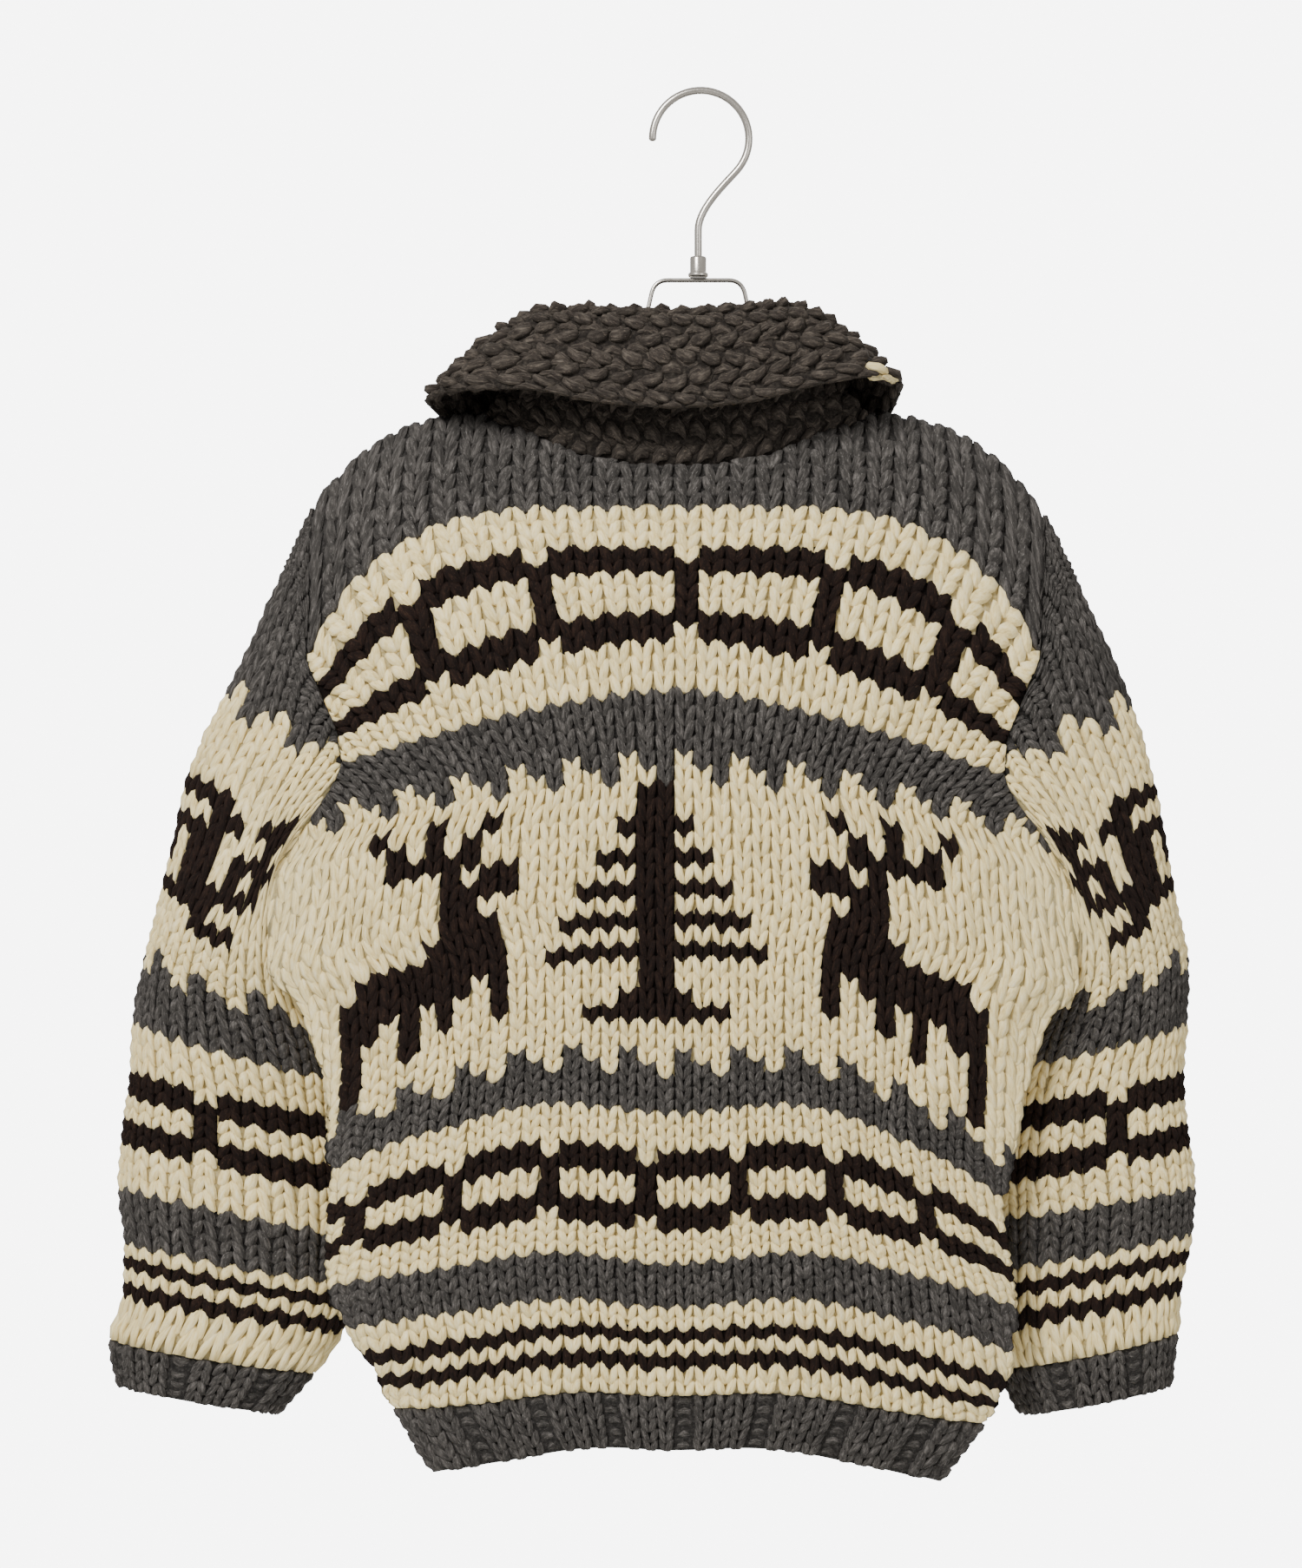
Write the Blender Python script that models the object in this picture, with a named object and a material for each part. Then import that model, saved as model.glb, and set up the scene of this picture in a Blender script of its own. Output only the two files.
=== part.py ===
"""Cowichan cardigan on a wire hanger.

Frame: metres, +Z up.  The origin is the inside top of the hanger's hook, where a rail bears.
The back of the cardigan faces -Y, the fronts face +Y, and +X is to the right seen from the back.

A knitted panel is a surface of two numbers: how far across it is (-1 at the left side seam,
0 at the middle, 1 at the right side seam) and the knitted row (0 at the hem's edge).
Each piece is one closed wall of WALL thickness, pushed outwards from that surface.
"""
import math

import bmesh
import bpy
import numpy as np

MM = 0.001
WALL = 7.0 * MM                  # bulky handspun knit
PIT_WALL = 1.2 * MM              # where four pieces meet under the arm
PIT_REACH = 60.0 * MM
SEAM_GAP = 0.3 * MM              # between two pieces that are sewn together

# ------------------------------------------------------------------ driving sizes, in rows
HEM_ROWS = 5.0                   # ribbed welt round the bottom
PIT_ROW = 48.0                   # underarm
SHOULDER_ROW = 76.0              # shoulder seam
BACK_NECK_ROW = 72.0             # lowest row of the back neckline
FRONT_NECK_ROW = 58.0            # where the fronts start to slope away for the collar
NECK_REACH = 0.54                # half the neckline, as a part of half the back
BAND_REACH = 0.115               # width of one front band, as a part of half the front
UNDERARM_EASE = 1.5              # rows left open where the sleeve meets the underarm
CAP_ROWS = 34.0                  # sleeve rows from the shoulder to the first whole ring
PIT_CAP_ROW = 24.0               # sleeve row that starts at the underarm
CUFF_TOP_ROW = 60.0              # sleeve row where the cuff starts
SLEEVE_ROWS = 64.0
SIDE_STEPS = 10                  # facets up a side seam
ARMHOLE_STEPS = 9                # facets up half an armhole
CENTRE_X = -20.0                 # middle of the garment, mm: it hangs a little to one side

# Body rows, mm: height at the middle, then each side seam's x and height, and how late the
# row bends down towards the sides.
BODY_ROWS = np.array([
    # row, mid_z, left_x, left_z, right_x, right_z, arch
    (0, -892, -176, -912, 153, -918, 2.4),
    (5, -856, -201, -870, 180, -880, 2.2),
    (8.5, -824, -212, -844, 189, -861, 2.6),
    (12, -798, -232, -816, 199, -833, 3.4),
    (16, -769, -242, -789, 200, -803, 3.8),
    (19, -748, -243, -771, 197, -785, 4.0),
    (25, -696, -243, -736, 194, -756, 3.8),
    (28, -671, -243, -713, 193, -733, 3.4),
    (33, -630, -242, -678, 198, -700, 2.9),
    (40, -560, -255, -612, 214, -623, 2.1),
    (43.5, -525, -275, -577, 233, -588, 2.0),
    (48, -479, -283, -522, 242, -531, 1.9),
    (50, -456, -267, -495, 226, -500, 1.8),
    (53, -427, -247, -465, 206, -473, 1.6),
    (56, -396, -237, -444, 195, -452, 1.5),
    (59, -364, -239, -428, 196, -434, 1.8),
    (66, -304, -253, -394, 210, -397, 4.2),
    (69, -278, -260, -374, 219, -372, 4.8),
    (76, -214, -257, -279, 223, -284, 6.0),
])
# Body depths, mm: the back and the fronts at the middle, and where each meets the side.
BODY_DEPTHS = np.array([
    # row, back_y, front_y, back_side_y, front_side_y
    (0, -44, 38, -14, -14),
    (5, -50, 43, -16, -16),
    (12, -56, 50, -19, -19),
    (25, -58, 52, -21, -21),
    (33, -58, 52, -23, -23),
    (44, -60, 52, -25, -25),
    (48, -60, 52, -26, -26),
    (53, -60, 52, -36, 4),
    (59, -58, 50, -40, 20),
    (66, -52, 44, -38, 24),
    (69, -47, 40, -32, 22),
    (73, -32, 27, -16, 13),
    (76, -1, 1, 0, 0),
])
# Slow waves along the lower rows, mm of height.
WAVE_ROWS = np.array([(0, 3), (8, 5), (16, 8), (28, 7), (36, 2), (42, 0), (76, 0)])
# Folds pressed into the body: from (across, row) to (across, row), height and half width.
BODY_FOLDS = (
    # side, across0, row0, across1, row1, lift_mm, spread
    ("back", -0.93, 46, -0.66, 30, 9.0, 0.075),
    ("back", -0.78, 44, -0.50, 22, -5.0, 0.060),
    ("back", 0.92, 46, 0.68, 26, 9.5, 0.080),
    ("back", 0.76, 42, 0.54, 18, -5.5, 0.065),
    ("back", -0.36, 26, -0.40, 4, 5.0, 0.100),
    ("back", 0.02, 27, 0.03, 6, -5.5, 0.085),
    ("back", 0.40, 28, 0.36, 3, 5.5, 0.110),
    ("back", -0.84, 66, -0.62, 58, 4.0, 0.070),
    ("back", 0.86, 65, 0.60, 57, 4.5, 0.075),
    ("front", -0.90, 45, -0.58, 28, 8.0, 0.080),
    ("front", 0.93, 45, 0.63, 24, 8.5, 0.075),
    ("front", -0.44, 30, -0.48, 6, 5.0, 0.110),
    ("front", 0.52, 27, 0.46, 4, 5.0, 0.100),
    ("front", 0.80, 62, 0.55, 54, 3.5, 0.080),
)
# Sleeve rings, mm: outer fold, middle of the flattened ring, inner fold, half its thickness,
# and how far forward the two folds lie.
LEFT_RINGS = np.array([
    # row, out_x, out_z, mid_x, mid_z, in_x, in_z, half_y, out_y, in_y
    (8, -286, -350, -270, -400, -330, -500, 34, 2, -10),
    (15, -318, -416, -272, -452, -331, -508, 34, 4, -10),
    (21, -342, -463, -296, -500, -330, -522, 35, 8, -8),
    (25, -350, -500, -308, -534, -326, -545, 35, 11, -2),
    (29, -358, -538, -320, -570, -300, -582, 34, 15, 11),
    (34, -368, -581, -323, -602, -258, -622, 33, 19, 31),
    (38, -375, -618, -320, -636, -250, -655, 32, 22, 38),
    (41, -377, -650, -316, -665, -249, -681, 31, 24, 43),
    (47, -383, -698, -315, -715, -241, -733, 31, 26, 47),
    (50, -385, -727, -315, -744, -239, -761, 31, 26, 47),
    (54, -381, -764, -314, -779, -240, -793, 30, 26, 46),
    (58, -382, -801, -319, -812, -249, -824, 28, 25, 43),
    (60, -391, -829, -332, -840, -266, -850, 27, 25, 41),
    (64, -385, -859, -341, -868, -291, -877, 24, 25, 38),
])
RIGHT_RINGS = np.array([
    # row, out_x, out_z, mid_x, mid_z, in_x, in_z, half_y, out_y, in_y
    (8, 256, -358, 228, -400, 289, -508, 34, 2, -10),
    (15, 286, -424, 232, -456, 290, -516, 34, 4, -10),
    (21, 298, -469, 254, -504, 289, -530, 35, 8, -8),
    (25, 304, -503, 262, -536, 285, -553, 35, 11, -2),
    (29, 310, -539, 274, -570, 258, -588, 34, 15, 11),
    (34, 317, -581, 272, -601, 216, -621, 33, 19, 31),
    (38, 316, -618, 267, -633, 205, -648, 32, 22, 38),
    (41, 314, -650, 261, -662, 202, -674, 31, 24, 43),
    (47, 319, -701, 260, -714, 195, -727, 31, 26, 47),
    (50, 322, -727, 262, -738, 195, -750, 31, 26, 47),
    (54, 320, -758, 261, -771, 195, -784, 30, 26, 46),
    (58, 312, -798, 258, -811, 197, -824, 28, 25, 43),
    (60, 311, -824, 261, -837, 204, -849, 27, 25, 41),
    (64, 307, -859, 266, -869, 218, -879, 24, 25, 38),
])
# Collar, mm from the garment's middle: the roll at the top and the outer edge of the fall.
# "along" runs from 0 at the middle of the back to 1 at the front bands.
COLLAR_LEFT = np.array([
    # along, roll_x, roll_y, roll_z, fall_x, fall_y, fall_z
    (0.00, 0, -40, -153, 0, -72, -216),
    (0.14, 42, -39, -151, 46, -72, -212),
    (0.28, 74, -32, -150, 98, -68, -203),
    (0.38, 92, -18, -155, 137, -50, -203),
    (0.47, 99, 0, -163, 154, -20, -208),
    (0.58, 94, 20, -181, 146, 24, -217),
    (0.72, 76, 38, -228, 120, 58, -264),
    (0.86, 48, 52, -290, 84, 72, -318),
    (1.00, 18, 60, -350, 38, 72, -366),
])
COLLAR_RIGHT = np.array([
    (0.00, 0, -40, -153, 0, -72, -216),
    (0.14, 42, -39, -150, 48, -72, -212),
    (0.28, 74, -32, -147, 98, -68, -200),
    (0.38, 90, -18, -152, 134, -50, -194),
    (0.47, 97, 0, -161, 152, -18, -199),
    (0.58, 94, 20, -180, 146, 24, -215),
    (0.72, 76, 38, -228, 122, 60, -262),
    (0.86, 48, 52, -290, 84, 72, -318),
    (1.00, 18, 60, -350, 38, 72, -366),
])
FLATNESS = np.array([1.0, 3.5, 1.0])   # how much more a flattened sleeve faces back and front
STAND_SHARE = 0.52               # part of the collar's width below the roll
COLLAR_START = 0.03              # part of its width where the collar starts, above the neck seam

# Hanger, mm
HOOK_RADIUS = 32.0
HOOK_WIRE = 5.0
HOOK_CENTRE = (-2.3, -HOOK_RADIUS + HOOK_WIRE / 2)
SHANK_X = -4.0
FERRULE_TOP = -107.7
FERRULE_RADIUS = 5.4
FERRULE_LENGTH = 14.0
FRAME_WIRE = 3.0
FRAME_TOP = FERRULE_TOP - FERRULE_LENGTH - FRAME_WIRE / 2 - SEAM_GAP / MM
# Half of the hanger's closed wire, mm from the shank: x, z and the bend's radius.
FRAME_CORNERS = (
    # x, z, bend
    (29, FRAME_TOP, 9),
    (46, -200, 14),
    (204, -272, 12),
    (196, -300, 8),
)


# ------------------------------------------------------------------ curves through tables
def through(table, column, at):
    """Read one column of a table at any place on a smooth curve through its rows."""
    xs = table[:, 0]
    ys = table[:, column]
    slopes = table_slopes(xs, ys)
    at = np.clip(np.asarray(at, float), xs[0], xs[-1])
    left = np.clip(np.searchsorted(xs, at, side="right") - 1, 0, len(xs) - 2)
    span = xs[left + 1] - xs[left]
    t = (at - xs[left]) / span
    rise = ys[left + 1] - ys[left]
    bend = t * (1 - t) * ((slopes[left] * span - rise) * (1 - t) - (slopes[left + 1] * span - rise) * t)
    return ys[left] + rise * t + bend


def table_slopes(xs, ys):
    """Slope at each row of a table, flat at a crest so that the curve never overshoots."""
    run = np.diff(ys) / np.diff(xs)
    before = np.concatenate([run[:1], run])
    after = np.concatenate([run, run[-1:]])
    same_way = before * after > 0
    total = np.where(same_way, before + after, 1.0)
    return np.where(same_way, 2 * before * after / total, 0.0)


def smooth_step(t):
    """Ease from 0 to 1."""
    t = np.clip(t, 0.0, 1.0)
    return t * t * (3 - 2 * t)


def unit(vectors):
    """Scale vectors to length 1."""
    return vectors / np.maximum(np.linalg.norm(vectors, axis=-1, keepdims=True), 1e-9)


def blend(a, b, share):
    """Mix two sets of vectors."""
    return a * (1 - share[..., None]) + b * share[..., None]


# ------------------------------------------------------------------ body surface
def body_point(side, across, row):
    """Inner face of the back or of a front, in metres."""
    across, row = np.broadcast_arrays(np.asarray(across, float), np.asarray(row, float))
    reach = np.abs(across)
    mid_z = through(BODY_ROWS, 1, row)
    left = across < 0
    edge_x = np.where(left, through(BODY_ROWS, 2, row), through(BODY_ROWS, 4, row))
    edge_z = np.where(left, through(BODY_ROWS, 3, row), through(BODY_ROWS, 5, row))
    arch = through(BODY_ROWS, 6, row)
    if side == "front":
        plain_x = np.where(left, *[straight_armhole(column, row) for column in (2, 4)])
        edge_x = np.where(row > PIT_ROW, plain_x, edge_x)
    x = CENTRE_X + (edge_x - CENTRE_X) * reach
    z = mid_z + (edge_z - mid_z) * reach ** arch
    wave = 0.5 - 0.5 * np.cos(2 * np.pi * np.clip(reach / 0.72, 0, 1))
    z = z + through(WAVE_ROWS, 1, row) * wave
    mid_column, edge_column, out = (1, 3, -1.0) if side == "back" else (2, 4, 1.0)
    mid_y = through(BODY_DEPTHS, mid_column, row)
    edge_y = through(BODY_DEPTHS, edge_column, row)
    y = edge_y + (mid_y - edge_y) * (1 - reach ** 2.6)
    y = y + out * (body_fold(side, across, row) + SEAM_GAP / MM)
    return np.stack([x, y, z], axis=-1) * MM


def straight_armhole(column, row):
    """Side of a front above the underarm: straight up to the shoulder."""
    share = smooth_step((row - PIT_ROW) / (SHOULDER_ROW - PIT_ROW))
    pit = through(BODY_ROWS, column, PIT_ROW)
    tip = through(BODY_ROWS, column, SHOULDER_ROW)
    return pit + (tip - pit) * share


def body_fold(side, across, row):
    """Lift of all folds at a place on the body, mm."""
    lift = np.zeros_like(across)
    for name, across0, row0, across1, row1, height, spread in BODY_FOLDS:
        if name != side:
            continue
        share = np.clip((row - row0) / (row1 - row0), -0.2, 1.2)
        line = across0 + (across1 - across0) * share
        fade = np.sin(np.pi * np.clip((share + 0.2) / 1.4, 0, 1))
        lift = lift + height * fade * np.exp(-((across - line) / spread) ** 2)
    edge_fade = 1 - smooth_step((np.abs(across) - 0.9) / 0.1)
    return lift * edge_fade


def neck_row(side, across):
    """Top row of the panel: the shoulder seam, cut down to the neckline in the middle."""
    low = BACK_NECK_ROW if side == "back" else FRONT_NECK_ROW
    power = 2.2 if side == "back" else 1.15
    share = np.clip(np.abs(across) / NECK_REACH, 0, 1) ** power
    return low + (SHOULDER_ROW - low) * share


def seam_out(row, left):
    """Outward direction that both pieces share along the side seam and the armhole."""
    stops = (0, PIT_ROW - 6, PIT_ROW, PIT_ROW + 4, SHOULDER_ROW)
    sideways = np.where(left, -1.0, 1.0) * np.interp(row, stops, (1, 1, 0.15, 1, 1))
    up = np.interp(row, stops, (0, 0, -1, 0, 1.6))
    return unit(np.stack([sideways, np.zeros_like(up), up], axis=-1))


def body_out(side, across, row):
    """Outward direction on the body."""
    step = 0.02
    inner = np.clip(across, -1 + step, 1 - step)
    ahead = body_point(side, inner + step, row) - body_point(side, inner - step, row)
    low = np.clip(row, 0.3, SHOULDER_ROW - 0.3)
    up = body_point(side, inner, low + 0.3) - body_point(side, inner, low - 0.3)
    normal = unit(np.cross(ahead, up))
    if side == "front":
        normal = -normal
    facing = np.array([0.0, -1.0 if side == "back" else 1.0, 0.0])
    armhole = np.clip((row - PIT_ROW) / 5, 0, 1) * np.clip((SHOULDER_ROW - row) / 4, 0, 1)
    edge = unit(blend(seam_out(row, across < 0), np.broadcast_to(facing, normal.shape), 0.85 * armhole))
    share = smooth_step((np.abs(across) - 0.86) / 0.14)
    normal = unit(blend(normal, edge, share))
    top = smooth_step((row - (SHOULDER_ROW - 3.5)) / 3.5)
    crown = unit(np.stack([edge[..., 0] * share, 0 * share, np.ones_like(share)], axis=-1))
    return unit(blend(normal, crown, top))


# ------------------------------------------------------------------ sleeve surface
def sleeve_parts(left, turn, row):
    """Point on a sleeve's inner face, the ring's share in it and its place on the armhole."""
    rings = LEFT_RINGS if left else RIGHT_RINGS
    turn, row = np.broadcast_arrays(np.asarray(turn, float), np.asarray(row, float))
    angle = np.pi * turn
    along = (1 - np.cos(angle)) / 2
    bulge = 4 * along * (1 - along) * (np.sin(angle) >= 0)
    out_x, out_z, mid_x, mid_z, in_x, in_z = [through(rings, c, row) for c in range(1, 7)]
    x = out_x * (1 - along) + in_x * along + (mid_x - (out_x + in_x) / 2) * bulge
    z = out_z * (1 - along) + in_z * along + (mid_z - (out_z + in_z) / 2) * bulge
    middle = through(rings, 8, row) * (1 - along) + through(rings, 9, row) * along
    y = middle - through(rings, 7, row) * np.sign(np.sin(angle)) * np.abs(np.sin(angle)) ** 0.8
    ring = np.stack([x, y, z], axis=-1) * MM
    edge = np.full_like(along, -1.0 if left else 1.0)
    seam_row = SHOULDER_ROW + (PIT_ROW - SHOULDER_ROW) * along
    behind = body_point("back", edge, seam_row)
    before = body_point("front", edge, seam_row)
    seam = np.where((np.sin(angle) >= 0)[..., None], behind, before)
    start = cap_start(turn)
    done = np.clip((row - start) / (CAP_ROWS - start), 0, 1)
    share = 1 - (1 - done) ** (3.0 - 1.6 * along)
    return blend(seam, ring, share), share, seam_row, angle


def cap_start(turn):
    """Sleeve row of the armhole seam, round the ring."""
    along = (1 - np.cos(np.pi * turn)) / 2
    return PIT_CAP_ROW * along ** 1.1


def sleeve_point(left, turn, row):
    """Inner face of a sleeve; turn 0 is the outer fold, 0.5 the back, 1 the inner fold."""
    return sleeve_parts(left, turn, row)[0]


def sleeve_out(left, turn, row):
    """Outward direction on a sleeve, starting as the armhole's own."""
    rings = LEFT_RINGS if left else RIGHT_RINGS
    point, share, seam_row, angle = sleeve_parts(left, turn, row)
    middle = [(through(rings, a, row) + through(rings, b, row)) / 2 for a, b in ((1, 5), (8, 9), (2, 6))]
    radial = unit((point - np.stack(middle, axis=-1) * MM) * FLATNESS)
    step = 0.02
    low = np.clip(row, cap_start(turn) + 0.8, SLEEVE_ROWS - 0.4)
    round_way = sleeve_point(left, turn + step, low) - sleeve_point(left, turn - step, low)
    down = sleeve_point(left, turn, low + 0.4) - sleeve_point(left, turn, low - 0.4)
    square = unit(np.cross(down, round_way)) * (1.0 if left else -1.0)
    along = (1 - np.cos(angle)) / 2
    inner_side = smooth_step((along - 0.4) / 0.3) * smooth_step((CAP_ROWS + 6 - row) / 8)
    normal = unit(blend(square, radial, inner_side))
    edge = np.full_like(seam_row, -1.0 if left else 1.0)
    behind = body_out("back", edge, seam_row)
    before = body_out("front", edge, seam_row)
    shared = np.where((np.sin(angle) >= 0)[..., None], behind, before)
    return unit(blend(shared, normal, smooth_step(share / 0.3)))


# ------------------------------------------------------------------ collar surface
def collar_seam(along):
    """The neckline that the collar is sewn to: back, shoulder, then down the fronts."""
    sign = np.where(along < 0, -1.0, 1.0)
    reach = np.abs(along)
    turn = 0.5
    back_across = sign * NECK_REACH * np.clip(reach / turn, 0, 1)
    behind = body_point("back", back_across, neck_row("back", back_across))
    share = np.clip((reach - turn) / (1 - turn), 0, 1)
    front_across = sign * (NECK_REACH + (BAND_REACH * 0.5 - NECK_REACH) * share)
    before = body_point("front", front_across, neck_row("front", front_across))
    return np.where((reach < turn)[..., None], behind, before)


def collar_point(along, width):
    """Point on the collar; width runs from 0 at the neck seam to 1 at the fall's edge."""
    along, width = np.broadcast_arrays(np.asarray(along, float), np.asarray(width, float))
    sign = np.where(along < 0, -1.0, 1.0)
    reach = np.abs(along)
    guide = [
        np.where(along < 0, through(COLLAR_LEFT, c, reach), through(COLLAR_RIGHT, c, reach))
        for c in range(1, 7)
    ]
    lean = np.where(along < 0, 1.04, 0.97)
    roll = np.stack([CENTRE_X + sign * guide[0] * lean, guide[1], guide[2]], axis=-1) * MM
    fall = np.stack([CENTRE_X + sign * guide[3] * lean, guide[4], guide[5]], axis=-1) * MM
    seam = collar_seam(along)
    out = fall - roll
    out[..., 2] = 0
    out = unit(out)
    rise = np.linalg.norm(roll - seam, axis=-1, keepdims=True)
    drop = np.linalg.norm(fall - roll, axis=-1, keepdims=True)
    upward = unit(roll - seam + np.array([0, 0, 0.03]))
    t = np.clip(width / STAND_SHARE, 0, 1)[..., None]
    stand = hermite(seam, roll, upward * rise, out * 0.045, t)
    t = np.clip((width - STAND_SHARE) / (1 - STAND_SHARE), 0, 1)[..., None]
    end = unit(fall - roll - np.array([0, 0, 0.03]))
    over = hermite(roll, fall, out * 0.045 * np.minimum(drop / 0.07, 1), end * drop * 0.8, t)
    return np.where((width < STAND_SHARE)[..., None], stand, over)


def hermite(a, b, leave, arrive, t):
    """Cubic curve from a to b with the given end directions."""
    return ((2 * t ** 3 - 3 * t ** 2 + 1) * a + (t ** 3 - 2 * t ** 2 + t) * leave
            + (3 * t ** 2 - 2 * t ** 3) * b + (t ** 3 - t ** 2) * arrive)


def collar_out(along, width):
    """Outward direction on the collar: inside of the neck on the stand, outside on the fall."""
    step = 0.006
    inner = np.clip(along, -1 + step, 1 - step)
    low = np.clip(width, step, 1 - step)
    ahead = collar_point(inner + step, low) - collar_point(inner - step, low)
    up = collar_point(inner, low + step) - collar_point(inner, low - step)
    return unit(np.cross(up, ahead))


# ------------------------------------------------------------------ building walls
def material(name, colour, roughness, metallic=0.0):
    """A plain Principled material."""
    made = bpy.data.materials.new(name)
    made.use_nodes = True
    shader = made.node_tree.nodes["Principled BSDF"]
    shader.inputs["Base Color"].default_value = (*colour, 1.0)
    shader.inputs["Roughness"].default_value = roughness
    shader.inputs["Metallic"].default_value = metallic
    return made


def add_object(name, mesh, finish):
    """Put a finished mesh in the scene under its node's name."""
    mesh.materials.append(finish)
    made = bpy.data.objects.new(name, mesh)
    bpy.context.scene.collection.objects.link(made)
    return made


def wall_thickness(spot):
    """Thickness of the wall at a place: the knit is drawn thin by the seams that meet underarm."""
    thickness = WALL
    for across in (-1.0, 1.0):
        away = np.linalg.norm(spot - body_point("back", across, PIT_ROW))
        thickness -= (WALL - PIT_WALL) * math.exp(-(away / PIT_REACH) ** 2)
    return thickness


def wall(name, finish, columns, rows, place, closed=False):
    """A closed wall over a grid: place(u, v) gives its inner points and outward directions."""
    bm = bmesh.new()
    bmesh.ops.create_grid(bm, x_segments=columns, y_segments=rows, size=0.5)
    bm.verts.ensure_lookup_table()
    flat = np.array([v.co[:2] for v in bm.verts]) + 0.5
    inner, out = place(flat[:, 0], flat[:, 1])
    number = bm.verts.layers.int.new("number")
    for index, vert in enumerate(bm.verts):
        vert.co = inner[index]
        vert[number] = index
    if closed:
        bmesh.ops.remove_doubles(bm, verts=bm.verts, dist=0.02 * MM)
    bmesh.ops.triangulate(bm, faces=bm.faces)
    first = list(bm.faces)
    grown = bmesh.ops.extrude_face_region(bm, geom=first, use_keep_orig=True)
    for item in grown["geom"]:
        if isinstance(item, bmesh.types.BMVert):
            item.co = np.array(item.co) + out[item[number]] * wall_thickness(inner[item[number]])
    bmesh.ops.recalc_face_normals(bm, faces=bm.faces)
    bmesh.ops.triangulate(bm, faces=bm.faces)
    mesh = bpy.data.meshes.new(name)
    bm.to_mesh(mesh)
    bm.free()
    return add_object(name, mesh, finish)


def gap_in_rows(side, across, row):
    """Half a seam gap, in rows, at a place on the body."""
    pitch = np.linalg.norm(body_point(side, across, row + 0.5) - body_point(side, across, row - 0.5), axis=-1)
    return SEAM_GAP * 0.5 / np.maximum(pitch, 1 * MM)


def panel_row(v, bottom, top):
    """Rows of a whole panel: even up to the underarm, then as the sleeve's ring has them."""
    share = SIDE_STEPS / (SIDE_STEPS + ARMHOLE_STEPS)
    below = bottom + (PIT_ROW - bottom) * v / share
    turn = (v - share) / (1 - share)
    above = PIT_ROW + (top - PIT_ROW) * (1 - np.cos(np.pi * np.clip(turn, 0, 1))) / 2
    return np.where(v < share, below, above)


def body_panel(name, finish, side, across0, across1, low, high, columns, rows=None):
    """Part of the back or of a front, between two places across and two rows.

    low and high are functions of the place across; a whole panel gives no number of rows."""
    spaced = rows is None
    if spaced:
        rows = SIDE_STEPS + ARMHOLE_STEPS

    def place(u, v):
        half_gap = SEAM_GAP * 0.5 / (220 * MM)
        across = (across0 + half_gap) * (1 - u) + (across1 - half_gap) * u
        bottom = low(across)
        top = high(across)
        bottom = bottom + np.where(bottom > 0, gap_in_rows(side, across, bottom + 0.5), 0)
        top = top - gap_in_rows(side, across, top - 0.5)
        row = panel_row(v, bottom, top) if spaced else bottom * (1 - v) + top * v
        return body_point(side, across, row), body_out(side, across, row)
    return wall(name, finish, columns, rows, place)


def flat_row(value):
    """A limit that is the same row all the way across."""
    return lambda across: np.full_like(across, value)


def build_body(wool):
    """Back, fronts, hems and front bands."""
    hem_top = flat_row(HEM_ROWS)
    bottom = flat_row(0.0)
    body_panel("back", wool["pattern"], "back", -1, 1, hem_top, lambda a: neck_row("back", a), 20)
    body_panel("back_hem", wool["grey"], "back", -1, 1, bottom, hem_top, 20, 2)
    for name, sign in (("left", -1), ("right", 1)):
        start, end = sorted((sign * 1.0, sign * BAND_REACH))
        body_panel(f"front_{name}", wool["pattern"], "front", start, end, hem_top,
                   lambda a: neck_row("front", a), 10)
        body_panel(f"front_{name}_hem", wool["grey"], "front", start, end, bottom, hem_top, 10, 2)
        start, end = sorted((sign * BAND_REACH, 0.0))
        body_panel(f"front_band_{name}", wool["brown"], "front", start, end, bottom,
                   lambda a: neck_row("front", a), 2, 18)


def build_sleeves(wool):
    """Sleeves and cuffs, each a tube closed round."""
    for name, left in (("left", True), ("right", False)):
        for piece, first, last, rows, finish in (
                ("sleeve", None, CUFF_TOP_ROW, 16, wool["pattern"]),
                ("cuff", CUFF_TOP_ROW, SLEEVE_ROWS, 2, wool["grey"])):
            def place(u, v, first=first, last=last, left=left):
                turn = 2 * u
                ease = UNDERARM_EASE * smooth_step((np.abs(np.cos(np.pi * turn / 2)) * -2 + 1) / 0.6)
                start = cap_start(turn) + 0.06 + ease if first is None else np.full_like(u, first + 0.02)
                end = last - 0.02 if last < SLEEVE_ROWS else last
                row = start * (1 - v) + end * v
                return sleeve_point(left, turn, row), sleeve_out(left, turn, row)
            wall(f"{piece}_{name}", finish, 2 * ARMHOLE_STEPS, rows, place, closed=True)


def build_collar(wool):
    """One folded strip: the stand, the roll and the fall."""
    def place(u, v):
        along = 2 * u - 1
        width = COLLAR_START + (1 - COLLAR_START) * v
        return collar_point(along, width), collar_out(along, width)
    wall("collar", wool["brown"], 32, 10, place)


# ------------------------------------------------------------------ hanger
def wire(name, finish, points, diameter, cyclic=False):
    """A round wire through points, in mm in the plane y = 0."""
    curve = bpy.data.curves.new(name, "CURVE")
    curve.dimensions = "3D"
    curve.bevel_depth = diameter / 2 * MM
    curve.bevel_resolution = 2
    curve.use_fill_caps = not cyclic
    spline = curve.splines.new("POLY")
    spline.points.add(len(points) - 1)
    for point, (x, z) in zip(spline.points, points):
        point.co = (x * MM, 0.0, z * MM, 1.0)
    spline.use_cyclic_u = cyclic
    curve.materials.append(finish)
    made = bpy.data.objects.new(name, curve)
    bpy.context.scene.collection.objects.link(made)
    return made


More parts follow.
